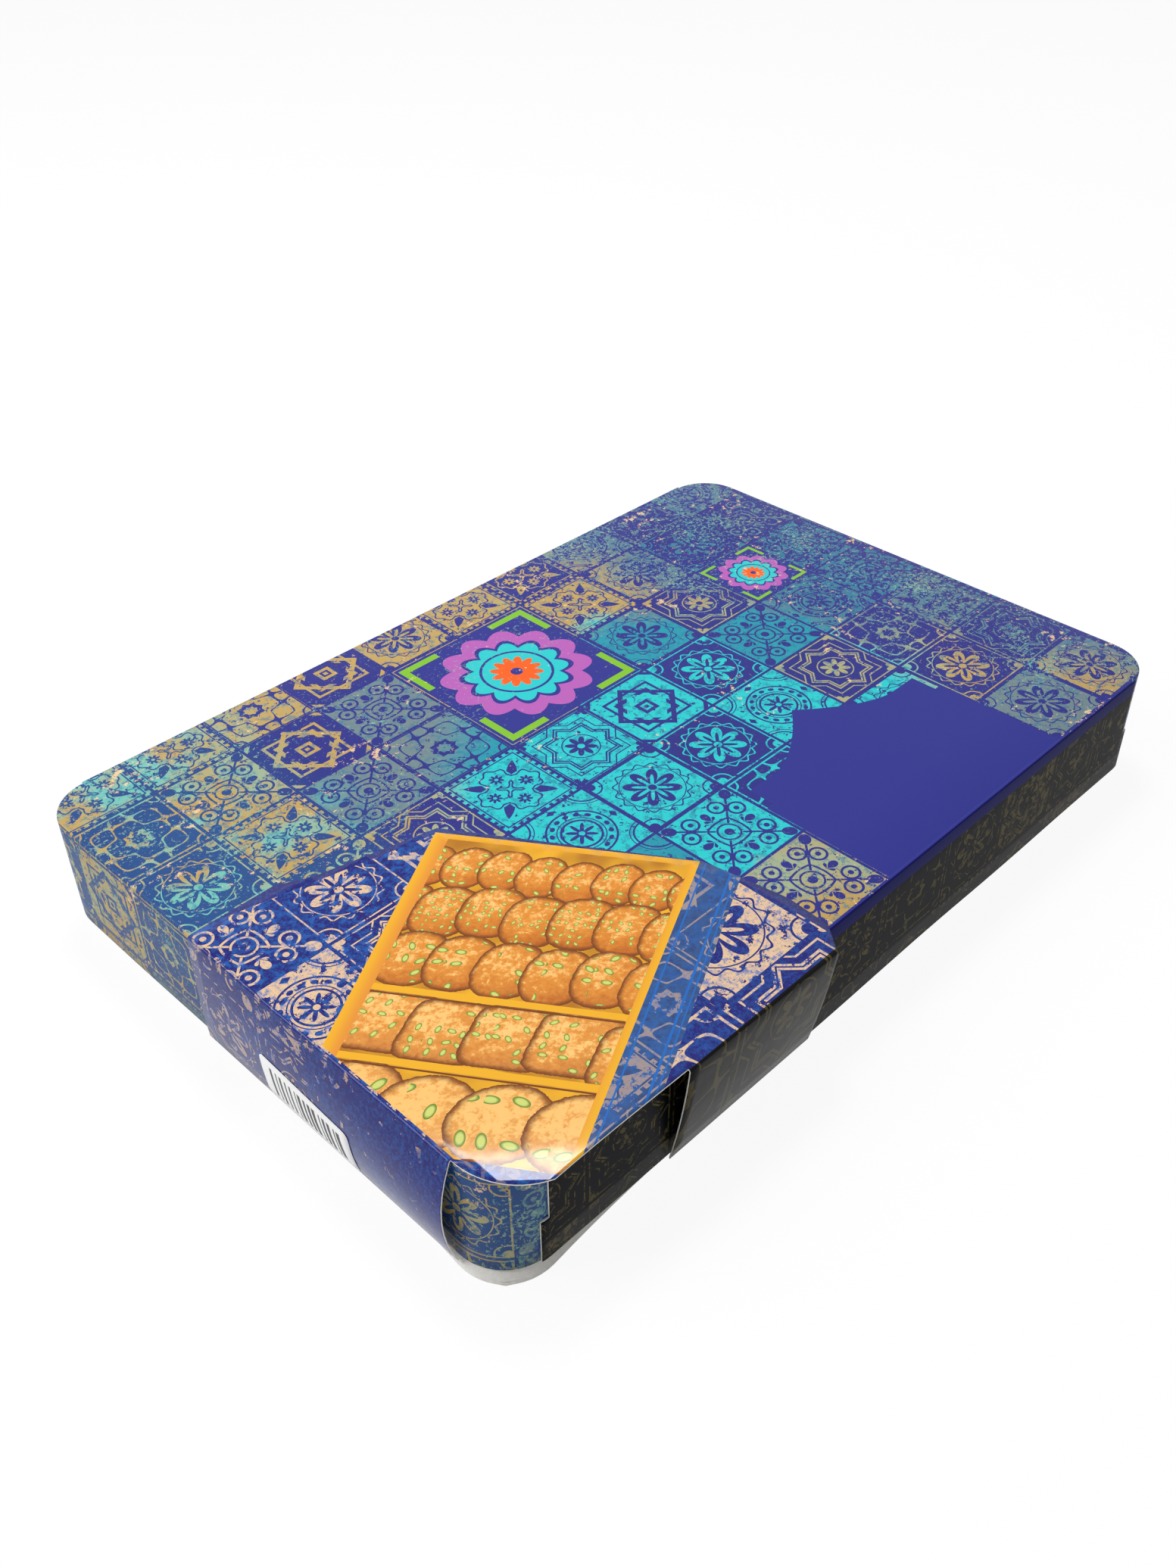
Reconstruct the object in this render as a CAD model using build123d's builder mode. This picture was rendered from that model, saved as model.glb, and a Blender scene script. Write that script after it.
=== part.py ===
# Sweet gift box: a shallow telescoping carton with rounded corners, closed by a full-depth
# printed lid, with a printed corner wrap over one corner of the lid. Inside the white base
# a gold liner holds six rows of sweets between strips of gold card, under a cover sheet.
#
# Millimetres, +Z up. X is the long side and Y the short side. The origin is the middle of
# the base's underside. The wrapped corner is at -X, -Y: its long flap faces -Y and its
# short flap, with the label, faces -X.

from math import cos, radians, sin, tan
import os

from build123d import *

# Carton: outer size of the lid and how far the base shows below it
lid_length = 298.0
lid_width = 200.0
lid_radius = 15.5
lid_depth = 36.4
base_reveal = 3.1
board = 0.8
lid_play = 0.7
crease_radius = 0.6

# Half-lap seams where the lid's corner panels meet its long walls
seam_width = 0.4
seam_depth = 0.4
seam_step = 1.6
seam_step_height = 0.53

# Corner wrap: thin card, loose on the lid. Places along its folds and on its die-cut outline
# are measured from the lid's wrapped corner, and its folds and feet outwards from the lid
wrap_card = 0.5
wrap_hem = 2.2
foot_gap = 0.4
short_flap_start = 15.4
short_flap_end = 119.5
short_fold_gap = 0.4
short_near_bulge = 3.8
short_far_bulge = 0.5
long_flap_start = 56.8
long_flap_end = 114.0
long_fold_near_gap = 5.8
long_fold_far_gap = 6.6
long_bulge = 0.6
free_edge_start = 13.0
free_edge_gap = 4.8
wrap_outline = [
    (27.4, 119.5),
    (37.0, 114.8),
    (74.5, 106.2),
    (116.2, 42.0),
    (117.5, 36.0),
    (121.0, 15.0),
    (120.0, 1.0),
]

# Label on the short flap: from the wrapped corner, and down from the lid's top
label_start = 51.8
label_end = 90.4
label_drop = 20.0
label_film = 0.15
label_radius = 2.0
label_hem = 0.4

# Gold liner, its dividers and the cover sheet
liner_card = 0.5
liner_play = 0.3
liner_top = 32.0
row_count = 6
divider_height = 23.0
divider_tab = 9.0
divider_play = 0.1
sheet_thickness = 0.3
sheet_play = 1.2

# Sweets: the gap at each side of a row, and which row holds which sweets
row_play = 1.2
round_row = 0
square_row = 1
bar_row = 2
first_roll_row = 3

# Rolled pastries: each is turned by up to roll_turn degrees
roll_count = 7
roll_length = 41.0
roll_width = 25.0
roll_height = 21.0
roll_round = 9.5
roll_end_round = 3.5
roll_side_room = 2.5
roll_turn = 1.5
lap_width = 0.7
lap_depth = 0.9
lap_angle = 30.0

# Crumble bars: their sides are notched and their heights uneven, and crumbs lie on them
bar_count = 6
bar_gap = 1.6
bar_height = 15.0
bar_unevenness = 1.5
bar_notch = 1.5
bar_bevel = 3.0
crumbs_per_bar = 5
crumb_length = 3.2
crumb_width = 2.2
crumb_height = 1.6
crumb_spiral_start = 3.0
crumb_spiral_step = 2.3
crumb_spiral_squash = 0.52

# Biscuits: squares and rounds that lean on one another along their rows
biscuit_lean = 25.0
biscuit_gap = 0.05
square_side = 43.0
square_thickness = 6.0
square_count = 11
square_corner = 4.0
round_radius = 22.0
round_thickness = 8.0
round_count = 8
round_edge = 2.0

# Pistachio kernels on the squares and clusters of chips on the rounds
kernels_per_square = 3
kernel_length = 9.0
kernel_width = 4.6
kernel_height = 1.3
kernel_pitch = 13.5
kernel_shift = 2.0
chips_per_round = 5
chip_ring_length = 5.5
chip_ring_width = 4.2
chip_ring_inset = 10.5

# Turns, in degrees, from one sweet or nut to the next, so that no two lie alike
golden_turn = 137.5
sweet_turn = 47.0

# Levels and sizes that follow from the dimensions above
half_length = lid_length / 2
half_width = lid_width / 2
lid_rim = base_reveal
lid_top = base_reveal + lid_depth
base_top = lid_top - board
base_inset = board + lid_play
base_length = lid_length - 2 * base_inset
base_width = lid_width - 2 * base_inset
base_radius = lid_radius - base_inset
liner_floor = board + liner_card
liner_inset = base_inset + board + liner_play
liner_length = lid_length - 2 * liner_inset
liner_width = lid_width - 2 * liner_inset
liner_radius = lid_radius - liner_inset
room_length = liner_length - 2 * liner_card
room_width = liner_width - 2 * liner_card
row_pitch = (room_length + liner_card) / row_count
row_room = row_pitch - liner_card
sweet_length = row_room - 2 * row_play
clear_width = room_width - 2 * liner_card


def row_middle(row):
    """X of the middle of a row, counted from 0 at the wrapped end."""
    return -room_length / 2 + row * row_pitch + row_room / 2


def place_in_row(number, count, width):
    """Y of one of a number of equal places side by side across the liner."""
    return (number - (count - 1) / 2) * width / count


def vary(number, shift=0):
    """A value from -1 to 1 that differs from one sweet to the next."""
    return sin(radians(golden_turn) * (number + shift))


def from_corner(x, y):
    """A point measured from the lid's wrapped corner, in the object's frame."""
    return (x - half_length, y - half_width)


# Lid: one board folded into a full-depth cap, open below
with BuildPart() as lid:
    with BuildSketch(Plane.XY.offset(lid_rim)):
        RectangleRounded(lid_length, lid_width, lid_radius)
    extrude(amount=lid_depth)
    top_edges = lid.edges().group_by(Axis.Z)[-1]
    fillet(top_edges, crease_radius)
    with BuildSketch(Plane.XY.offset(lid_rim)):
        RectangleRounded(lid_length - 2 * board, lid_width - 2 * board, lid_radius - board)
    extrude(amount=lid_depth - board, mode=Mode.SUBTRACT)
    # Each corner panel ends on the long wall in a seam that steps sideways half way down
    seam_x = half_length - lid_radius - seam_step
    seam_split = lid_rim + lid_depth * seam_step_height
    seam_upper = lid_top - crease_radius - seam_split
    seam_lower = seam_split - lid_rim
    for side in (-1, 1):
        for end in (-1, 1):
            upper_x = end * (seam_x - seam_step)
            lower_x = end * seam_x
            wall_y = side * half_width
            with Locations((upper_x, wall_y, seam_split + seam_upper / 2)):
                Box(seam_width, 2 * seam_depth, seam_upper, mode=Mode.SUBTRACT)
            with Locations((lower_x, wall_y, lid_rim + seam_lower / 2)):
                Box(seam_width, 2 * seam_depth, seam_lower, mode=Mode.SUBTRACT)
            with Locations(((upper_x + lower_x) / 2, wall_y, seam_split)):
                Box(seam_step + seam_width, 2 * seam_depth, seam_width, mode=Mode.SUBTRACT)

# Base: the plain white tray that the lid telescopes over
with BuildPart() as base_tray:
    with BuildSketch():
        RectangleRounded(base_length, base_width, base_radius)
    extrude(amount=base_top)
    bottom_edges = base_tray.edges().group_by(Axis.Z)[0]
    fillet(bottom_edges, crease_radius)
    with BuildSketch(Plane.XY.offset(board)):
        RectangleRounded(base_length - 2 * board, base_width - 2 * board, base_radius - board)
    extrude(amount=base_top - board, mode=Mode.SUBTRACT)

wrap_top = lid_top + wrap_card
hem_level = wrap_hem
short_fold_x = -half_length - short_fold_gap
short_foot_x = -half_length - foot_gap
long_foot_y = -half_width - foot_gap


def bowed_flap(sections, inside, outside):
    """The band of a flap between two depths from its inner face, lofted through sections."""
    middle_level = (wrap_top + hem_level) / 2
    with BuildPart() as flap:
        for plane, fold, foot, bulge in sections:
            middle = (fold + foot) / 2 - bulge
            with BuildSketch(plane):
                with BuildLine():
                    for depth in (inside, outside):
                        ThreePointArc(
                            (fold - depth, wrap_top),
                            (middle - depth, middle_level),
                            (foot - depth, hem_level),
                        )
                    Line((fold - inside, wrap_top), (fold - outside, wrap_top))
                    Line((foot - inside, hem_level), (foot - outside, hem_level))
                make_face()
        loft()
    return flap.part


# The short flap bows away from the wall near the corner and lies flatter at its far end.
# The long flap slopes from a fold that stands off the lid to a foot against it
short_sections = [
    (Plane.XZ.offset(half_width - place), short_fold_x, short_foot_x, bulge)
    for place, bulge in (
        (short_flap_start, short_near_bulge),
        (short_flap_end, short_far_bulge),
    )
]
long_sections = [
    (Plane.YZ.offset(place - half_length), -half_width - gap, long_foot_y, long_bulge)
    for place, gap in (
        (long_flap_start, long_fold_near_gap),
        (long_flap_end, long_fold_far_gap),
    )
]
short_flap = bowed_flap(short_sections, 0, wrap_card)
long_flap = bowed_flap(long_sections, 0, wrap_card)
film_over_flap = bowed_flap(short_sections, wrap_card, wrap_card + label_film)

# Corner wrap: a top panel on the lid with one flap down outside each wall
with BuildPart() as corner_wrap:
    with BuildSketch(Plane.XY.offset(lid_top)):
        with BuildLine():
            outer_fold = -short_fold_gap - wrap_card
            corner_start = from_corner(outer_fold, short_flap_start)
            corner_end = from_corner(free_edge_start, -free_edge_gap)
            Polyline(
                corner_start,
                from_corner(outer_fold, short_flap_end),
                *[from_corner(x, y) for x, y in wrap_outline],
                from_corner(long_flap_end, -long_fold_far_gap - wrap_card),
                from_corner(long_flap_start, -long_fold_near_gap - wrap_card),
                corner_end,
            )
            TangentArc(corner_start, corner_end, tangent=(0, -1))
        make_face()
    extrude(amount=wrap_card)
    add(short_flap)
    add(long_flap)

# Label: a small printed sticker, cut from the film that lies on the short flap
label_top = lid_top - label_drop
label_bottom = hem_level + label_hem
label_centre = from_corner(0, (label_start + label_end) / 2)
with BuildPart() as barcode_label:
    add(film_over_flap)
    label_plane = Plane(
        origin=(*label_centre, (label_top + label_bottom) / 2),
        x_dir=(0, -1, 0),
        z_dir=(-1, 0, 0),
    )
    with BuildSketch(label_plane):
        RectangleRounded(label_end - label_start, label_top - label_bottom, label_radius)
    extrude(amount=lid_radius, mode=Mode.INTERSECT)

# Liner: the gold tray that lines the base
with BuildPart() as liner_tray:
    with BuildSketch(Plane.XY.offset(board)):
        RectangleRounded(liner_length, liner_width, liner_radius)
    extrude(amount=liner_top - board)
    with BuildSketch(Plane.XY.offset(liner_floor)):
        RectangleRounded(room_length, room_width, liner_radius - liner_card)
    extrude(amount=liner_top - liner_floor, mode=Mode.SUBTRACT)

# Cover sheet: greaseproof paper laid on the liner's rim, over the sweets
with BuildPart() as cover_sheet:
    sheet_inset = base_inset + board + sheet_play
    with BuildSketch(Plane.XY.offset(liner_top)):
        RectangleRounded(
            lid_length - 2 * sheet_inset,
            lid_width - 2 * sheet_inset,
            lid_radius - sheet_inset,
        )
    extrude(amount=sheet_thickness)


def make_divider(number):
    """A strip of gold card across the liner, its ends folded flat against the walls."""
    web_x = -room_length / 2 + number * row_pitch - liner_card
    strip_width = room_width - 2 * divider_play
    with BuildPart() as strip:
        with BuildSketch(Plane.XY.offset(liner_floor)):
            with Locations((web_x, -strip_width / 2)):
                Rectangle(liner_card, strip_width, align=Align.MIN)
                Rectangle(divider_tab, liner_card, align=Align.MIN)
            with Locations((web_x, strip_width / 2 - liner_card)):
                Rectangle(divider_tab, liner_card, align=Align.MIN)
        extrude(amount=divider_height)
    return strip.part


# Rolled pastry: one roll of thin dough, pressed flat below, its lap showing along the top
with BuildPart() as pastry_roll:
    with BuildSketch(Plane.YZ):
        RectangleRounded(roll_width, roll_height, roll_round)
    extrude(amount=roll_length / 2, both=True)
    end_edges = pastry_roll.edges().filter_by(Plane.YZ)
    fillet(end_edges, roll_end_round)
    lap_y = roll_width / 2 - roll_round + roll_round * sin(radians(lap_angle))
    lap_z = roll_height / 2 - roll_round + roll_round * cos(radians(lap_angle))
    with Locations(Location((0, lap_y, lap_z), (-lap_angle, 0, 0))):
        Box(roll_length, lap_width, 2 * lap_depth, mode=Mode.SUBTRACT)


def make_roll_row(row):
    """A row of pastry rolls side by side, each turned a little on its own."""
    roll_middle = liner_floor + roll_height / 2
    with BuildPart() as rolls:
        for number in range(roll_count):
            y = place_in_row(number, roll_count, clear_width - 2 * roll_side_room)
            turn = roll_turn * vary(number, row)
            with Locations(Location((row_middle(row), y, roll_middle), (0, 0, turn))):
                add(pastry_roll.part)
    return rolls.part


# Crumble bars: broken slabs with uneven sides and bevelled tops
half_bar_x = sweet_length / 2
half_bar_y = (clear_width / bar_count - bar_gap) / 2
bar_heights = [bar_height + bar_unevenness * vary(number) for number in range(bar_count)]
with BuildPart() as crumble_bars:
    for number, height in enumerate(bar_heights):
        y = place_in_row(number, bar_count, clear_width)
        notch = bar_notch * (1 + vary(number) / 2)
        with BuildSketch(Plane.XY.offset(liner_floor)):
            with Locations((row_middle(bar_row), y)):
                Polygon(
                    (-half_bar_x, -half_bar_y),
                    (-half_bar_x / 4, -half_bar_y + notch),
                    (half_bar_x, -half_bar_y),
                    (half_bar_x - notch, half_bar_y / 5),
                    (half_bar_x, half_bar_y),
                    (half_bar_x / 3, half_bar_y - notch),
                    (-half_bar_x, half_bar_y),
                    (-half_bar_x + notch, -half_bar_y / 4),
                    align=None,
                )
        extrude(amount=height)
    bar_tops = crumble_bars.faces().filter_by(Axis.Z).filter_by(
        lambda face: face.center().Z > liner_floor + bar_height / 2
    )
    chamfer(bar_tops.edges(), bar_bevel)

# Crumbs of pistachio scattered in a spiral on each crumble bar
with BuildPart() as bar_pistachios:
    for number, height in enumerate(bar_heights):
        y = place_in_row(number, bar_count, clear_width)
        for crumb in range(crumbs_per_bar):
            angle = radians(golden_turn * (crumb + number))
            spread = crumb_spiral_start + crumb_spiral_step * crumb
            crumb_x = row_middle(bar_row) + spread * cos(angle)
            crumb_y = y + crumb_spiral_squash * spread * sin(angle)
            turn = sweet_turn * (crumb + number)
            with BuildSketch(Plane.XY.offset(liner_floor + height)):
                with Locations(Location((crumb_x, crumb_y, 0), (0, 0, turn))):
                    Rectangle(crumb_length, crumb_width)
            extrude(amount=crumb_height)


def leaning_places(row, count, length, thickness):
    """Planes of a row of leaning biscuits' undersides, each from its edge on the floor."""
    lean = radians(biscuit_lean)
    step = (thickness + biscuit_gap) / sin(lean)
    foot = thickness * sin(lean)
    row_span = (count - 1) * step + length * cos(lean) + foot
    first = foot - row_span / 2
    return [
        Plane(Location((row_middle(row), first + number * step, liner_floor), (biscuit_lean, 0, 0)))
        for number in range(count)
    ]


# Flat biscuits: thin squares leaning on one another along the row
square_places = leaning_places(square_row, square_count, square_side, square_thickness)
with BuildPart() as flat_biscuits:
    for place in square_places:
        with BuildSketch(place):
            with Locations((0, square_side / 2)):
                RectangleRounded(sweet_length, square_side, square_corner)
        extrude(amount=square_thickness)

# Pistachio kernels pressed on the strip that shows of each flat biscuit
with BuildPart() as flat_biscuit_pistachios:
    shown_strip = square_thickness / tan(radians(biscuit_lean))
    for number, place in enumerate(square_places):
        with BuildSketch(place.offset(square_thickness)):
            for kernel in range(kernels_per_square):
                kernel_x = (kernel - (kernels_per_square - 1) / 2) * kernel_pitch
                kernel_x += kernel_shift * vary(kernel, number)
                turn = sweet_turn * (kernel + number)
                kernel_place = (kernel_x, square_side - shown_strip / 2, 0)
                with Locations(Location(kernel_place, (0, 0, turn))):
                    Ellipse(kernel_length / 2, kernel_width / 2)
        extrude(amount=kernel_height)

# Round biscuits: thicker discs leaning the same way in the row at the wrapped end
round_places = leaning_places(round_row, round_count, 2 * round_radius, round_thickness)
with BuildPart() as round_biscuits:
    for place in round_places:
        with BuildSketch(place):
            with Locations((0, round_radius)):
                Circle(round_radius)
        extrude(amount=round_thickness)
    fillet(round_biscuits.edges().filter_by(GeomType.CIRCLE), round_edge)

# A cluster of pistachio chips near the upper edge of each round biscuit
with BuildPart() as round_biscuit_pistachios:
    for number, place in enumerate(round_places):
        with BuildSketch(place.offset(round_thickness)):
            for chip in range(chips_per_round):
                angle = radians(360 * chip / chips_per_round + sweet_turn * number)
                chip_x = chip_ring_length * cos(angle)
                chip_y = 2 * round_radius - chip_ring_inset + chip_ring_width * sin(angle)
                with Locations(Location((chip_x, chip_y, 0), (0, 0, sweet_turn * chip))):
                    Rectangle(crumb_length, crumb_width)
        extrude(amount=crumb_height)

pieces = {
    "lid": lid.part,
    "base_tray": base_tray.part,
    "corner_wrap": corner_wrap.part,
    "barcode_label": barcode_label.part,
    "liner_tray": liner_tray.part,
    "cover_sheet": cover_sheet.part,
    "crumble_bars": crumble_bars.part,
    "bar_pistachios": bar_pistachios.part,
    "flat_biscuits": flat_biscuits.part,
    "flat_biscuit_pistachios": flat_biscuit_pistachios.part,
    "round_biscuits": round_biscuits.part,
    "round_biscuit_pistachios": round_biscuit_pistachios.part,
}
for number in range(1, row_count):
    pieces[f"divider_{number}"] = make_divider(number)
for row in range(first_roll_row, row_count):
    pieces[f"pastry_rolls_{row - first_roll_row + 1}"] = make_roll_row(row)

os.makedirs("parts", exist_ok=True)
for name, piece in pieces.items():
    piece.label = name
    export_step(piece, f"parts/{name}.step")
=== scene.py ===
# %% [markdown]
# # Sweet gift box
# The object is a shallow carton for sweets: a printed lid that slides down over a plain
# white base, with a loose printed card wrapped over one corner of the lid. Inside are a
# gold liner, strips of gold card between six rows of sweets, and a sheet of paper on top.
# The solid model of every piece is loaded first. It fixes all sizes and places, so each
# surface made below is fitted to it and nothing has to be guessed or moved afterwards.

# %% Load the solid model
import bmesh
import bpy
from functools import partial
from math import atan2, cos, hypot, pi, radians, sin, sqrt
from mathutils import Color, Matrix, Quaternion, Vector, noise


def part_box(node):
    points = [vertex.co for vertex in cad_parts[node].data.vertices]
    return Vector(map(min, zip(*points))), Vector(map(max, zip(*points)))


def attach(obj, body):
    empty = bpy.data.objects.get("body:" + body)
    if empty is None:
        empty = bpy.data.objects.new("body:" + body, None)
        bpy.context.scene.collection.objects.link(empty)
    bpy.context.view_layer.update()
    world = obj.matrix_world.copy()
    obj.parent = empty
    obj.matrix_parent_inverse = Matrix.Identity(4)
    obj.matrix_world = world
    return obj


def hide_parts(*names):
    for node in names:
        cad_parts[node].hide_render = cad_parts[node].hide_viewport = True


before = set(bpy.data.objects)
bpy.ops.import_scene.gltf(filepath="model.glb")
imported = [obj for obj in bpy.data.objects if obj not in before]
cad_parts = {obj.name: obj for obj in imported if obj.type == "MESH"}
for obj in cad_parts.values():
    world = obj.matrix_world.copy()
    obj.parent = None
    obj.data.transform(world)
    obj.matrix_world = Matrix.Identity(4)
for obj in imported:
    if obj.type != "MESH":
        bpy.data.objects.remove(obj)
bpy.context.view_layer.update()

mm = 0.001
scene = bpy.context.scene
scene.view_settings.view_transform = "Standard"
print("pieces in the solid model:", len(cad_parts))

# %% [markdown]
# Every size below comes from the solid model's boxes, or is a thickness or a radius of the
# card and board that those boxes can't show.

# %% Sizes of the carton
lid_low, lid_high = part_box("lid")
base_low, base_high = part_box("base_tray")
half_length = lid_high.x
half_width = lid_high.y
lid_rim = lid_low.z
lid_top = lid_high.z
board = 0.8 * mm
card = 0.5 * mm
lid_radius = 15.5 * mm
crease_radius = 0.7 * mm
print("lid in mm:", [round(value / mm, 1) for value in (lid_high - lid_low)])

# %% [markdown]
# The camera stands where the photographer held theirs: above the wrapped corner, looking
# down across the lid. A camera can be turned by three angles, but it is easier to read as a
# place, a point to aim at, and a small roll, because a hand-held camera is never quite level.

# %% Camera
camera_place = Vector((-0.2768, -0.2565, 0.3106))
camera_aim = Vector((0.0068, 0.0257, 0))
camera_roll = radians(-0.6)
photo_width = 1553
focal_length_pixels = 1959.3
film_width = 36


def add_object(name, data):
    """Put a camera, a lamp or a mesh into the scene."""
    added = bpy.data.objects.new(name, data)
    scene.collection.objects.link(added)
    return added


camera_data = bpy.data.cameras.new("camera")
camera_data.sensor_fit = "HORIZONTAL"
camera_data.sensor_width = film_width
camera_data.lens = focal_length_pixels / photo_width * film_width
camera = add_object("camera", camera_data)
level_turn = (camera_aim - camera_place).to_track_quat("-Z", "Y")
roll_turn = Quaternion((0, 0, 1), camera_roll)
camera.matrix_world = Matrix.LocRotScale(camera_place, level_turn @ roll_turn, None)
scene.camera = camera
print("lens in mm:", round(camera_data.lens, 2))

# %% [markdown]
# A studio shot of glossy card needs large soft lamps: a small lamp would burn one bright
# spot into the print. The main lamp stands behind and to the left, so the top and the short
# end are lit and the long side facing the camera stays dark. A second lamp hangs high over
# the far half, where only card that bends down at the wrapped corner can mirror it.

# %% Lamps
lamps = {
    "main_lamp": {"place": (-0.9, 0.75, 1.1), "width": 0.9, "power": 15},
    "corner_lamp": {"place": (0.21, 0.33, 1.22), "width": 0.3, "power": 9},
}
for name, lamp in lamps.items():
    lamp_data = bpy.data.lights.new(name, "AREA")
    lamp_data.shape = "SQUARE"
    lamp_data.size = lamp["width"]
    lamp_data.energy = lamp["power"]
    place = Vector(lamp["place"])
    turn_to_box = (-place).to_track_quat("-Z", "Y")
    add_object(name, lamp_data).matrix_world = Matrix.LocRotScale(place, turn_to_box, None)
    print(name, "is", round(place.length, 2), "m from the box")

# %% [markdown]
# The print and the background are both worked out by shader nodes. Building dozens of Math
# nodes by hand hides the idea behind the wiring, so a small class stands for a number that
# changes over the surface: adding or multiplying two of them places the Math node and its
# links, and a pattern can be written as a formula.

# %% A number that changes over the surface


class Value:
    """The output of a node, ready for plain arithmetic."""

    def __init__(self, tree, socket):
        self.tree = tree
        self.socket = socket

    def __add__(self, other):
        return maths("ADD", self, other)

    def __sub__(self, other):
        return maths("SUBTRACT", self, other)

    def __rsub__(self, other):
        return maths("SUBTRACT", other, self)

    def __mul__(self, other):
        return maths("MULTIPLY", self, other)

    def __truediv__(self, other):
        return maths("DIVIDE", self, other)

    def __rtruediv__(self, other):
        return maths("DIVIDE", other, self)

    __radd__ = __add__
    __rmul__ = __mul__


print("a Value can be added, subtracted, multiplied and divided")

# %% [markdown]
# Behind the operators stand two functions. One links a Value to a socket or writes a plain
# number there, and the other places a Math node and feeds it.

# %% Links and Math nodes


def feed(term, socket):
    """Link a Value to a socket, or set the socket to a plain number or colour."""
    if isinstance(term, Value):
        term.tree.links.new(term.socket, socket)
    else:
        socket.default_value = term


def maths(operation, *terms):
    """A Math node of one operation, between Values and plain numbers."""
    tree = next(term.tree for term in terms if isinstance(term, Value))
    node = tree.nodes.new("ShaderNodeMath")
    node.operation = operation
    for term, socket in zip(terms, node.inputs):
        feed(term, socket)
    return Value(tree, node.outputs[0])


print("one operator is one Math node, placed by", maths.__name__)

# %% [markdown]
# A flat pattern is made of regions, and a region is a mask: 1 inside and 0 outside. Masks
# come from comparing a distance with a size. They join with a maximum, and one is cut out
# of another with a product, much as paper shapes are laid over or cut from each other. The
# words for single Math nodes are made with partial, which fills in the operation's name.

# %% Words for masks
absolute = partial(maths, "ABSOLUTE")
least = partial(maths, "MINIMUM")
most = partial(maths, "MAXIMUM")
below = partial(maths, "LESS_THAN")
above = partial(maths, "GREATER_THAN")
fraction = partial(maths, "FRACT")
whole = partial(maths, "FLOOR")
power = partial(maths, "POWER")
cosine = partial(maths, "COSINE")
sine = partial(maths, "SINE")


def between(x, low, high):
    return above(x, low) * below(x, high)


def stripes(distance, *lines):
    """Lines at given distances: each is a distance and a width."""
    return either(*(below(absolute(distance - place), width / 2) for place, width in lines))


def either(*masks):
    joined = masks[0]
    for mask in masks[1:]:
        joined = most(joined, mask)
    return joined


def without(mask, hole):
    return mask * (1 - hole)


def length(x, y):
    return maths("SQRT", x * x + y * y)


def angle_of(x, y):
    return maths("ARCTAN2", y, x)


print("one word is one node:", absolute.args, least.args, most.args)

# %% [markdown]
# Noises take a place as a vector, so there is a word that builds a vector from numbers and
# one that takes it apart. The noises and the smooth slope between two numbers get one too.

# %% Words for places and noise


def ramp(x, low, high):
    """0 below low, 1 above high and a smooth slope between them."""
    node = x.tree.nodes.new("ShaderNodeMapRange")
    node.interpolation_type = "SMOOTHSTEP"
    feed(x, node.inputs["Value"])
    node.inputs["From Min"].default_value = low
    node.inputs["From Max"].default_value = high
    return Value(x.tree, node.outputs["Result"])


def point(x, y, z=0.0):
    """A vector from two or three numbers."""
    node = x.tree.nodes.new("ShaderNodeCombineXYZ")
    for term, socket in zip((x, y, z), node.inputs):
        feed(term, socket)
    return Value(x.tree, node.outputs[0])


def split(vector):
    """The three numbers of a vector."""
    node = vector.tree.nodes.new("ShaderNodeSeparateXYZ")
    feed(vector, node.inputs[0])
    return [Value(vector.tree, socket) for socket in node.outputs]


def cloud(place, scale, detail=4.0, rough=0.6):
    """Smooth noise from 0 to 1, about one blob for each 1/scale of a unit."""
    node = place.tree.nodes.new("ShaderNodeTexNoise")
    feed(place, node.inputs["Vector"])
    node.inputs["Scale"].default_value = scale
    node.inputs["Detail"].default_value = detail
    node.inputs["Roughness"].default_value = rough
    return Value(place.tree, node.outputs["Fac"])


def chance(place):
    """A random number from 0 to 1 that is the same for the same place."""
    node = place.tree.nodes.new("ShaderNodeTexWhiteNoise")
    feed(place, node.inputs["Vector"])
    return Value(place.tree, node.outputs["Value"])


print("words for noise:", cloud.__name__, chance.__name__)

# %% [markdown]
# A colour is laid over another with a mask, like a stencil. Inks are written in the numbers
# that a screen shows, and the shader needs them linear, so they are converted once here.

# %% Words for colour


def paint(colour, *layers):
    """Lay colours over a first one: each layer is a mask and the colour it brings."""
    for mask, over in layers:
        node = mask.tree.nodes.new("ShaderNodeMix")
        node.data_type = "RGBA"
        feed(mask, node.inputs["Factor"])
        under_socket, over_socket = [socket for socket in node.inputs if socket.type == "RGBA"]
        feed(colour, under_socket)
        feed(over, over_socket)
        colour = Value(mask.tree, next(socket for socket in node.outputs if socket.type == "RGBA"))
    return colour


def ink(red, green, blue):
    """A colour from 0 to 255, as a screen shows it, made linear for the shader."""
    screen = Color([level / 255 for level in (red, green, blue)])
    return (*screen.from_srgb_to_scene_linear(), 1)


print("a middle grey is linear", round(ink(128, 128, 128)[0], 3))

# %% [markdown]
# Patterns that several materials use are node groups. One function makes a group from its
# sockets' names and a drawing, and another places it in a tree.

# %% Node groups from drawings
socket_kinds = {"Place": "NodeSocketVector", "Colour": "NodeSocketColor"}


def make_group(name, input_names, output_names, draw):
    """A node group: draw gets a Value for each input and returns one for each output."""
    group = bpy.data.node_groups.new(name, "ShaderNodeTree")
    for side, socket_names in (("INPUT", input_names), ("OUTPUT", output_names)):
        for socket_name in socket_names:
            kind = socket_kinds.get(socket_name, "NodeSocketFloat")
            group.interface.new_socket(socket_name, in_out=side, socket_type=kind)
    start = group.nodes.new("NodeGroupInput")
    end = group.nodes.new("NodeGroupOutput")
    drawn = draw(*(Value(group, start.outputs[socket_name]) for socket_name in input_names))
    for socket_name, value in zip(output_names, drawn):
        feed(value, end.inputs[socket_name])
    print(name, "nodes:", len(group.nodes))
    return group


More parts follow.
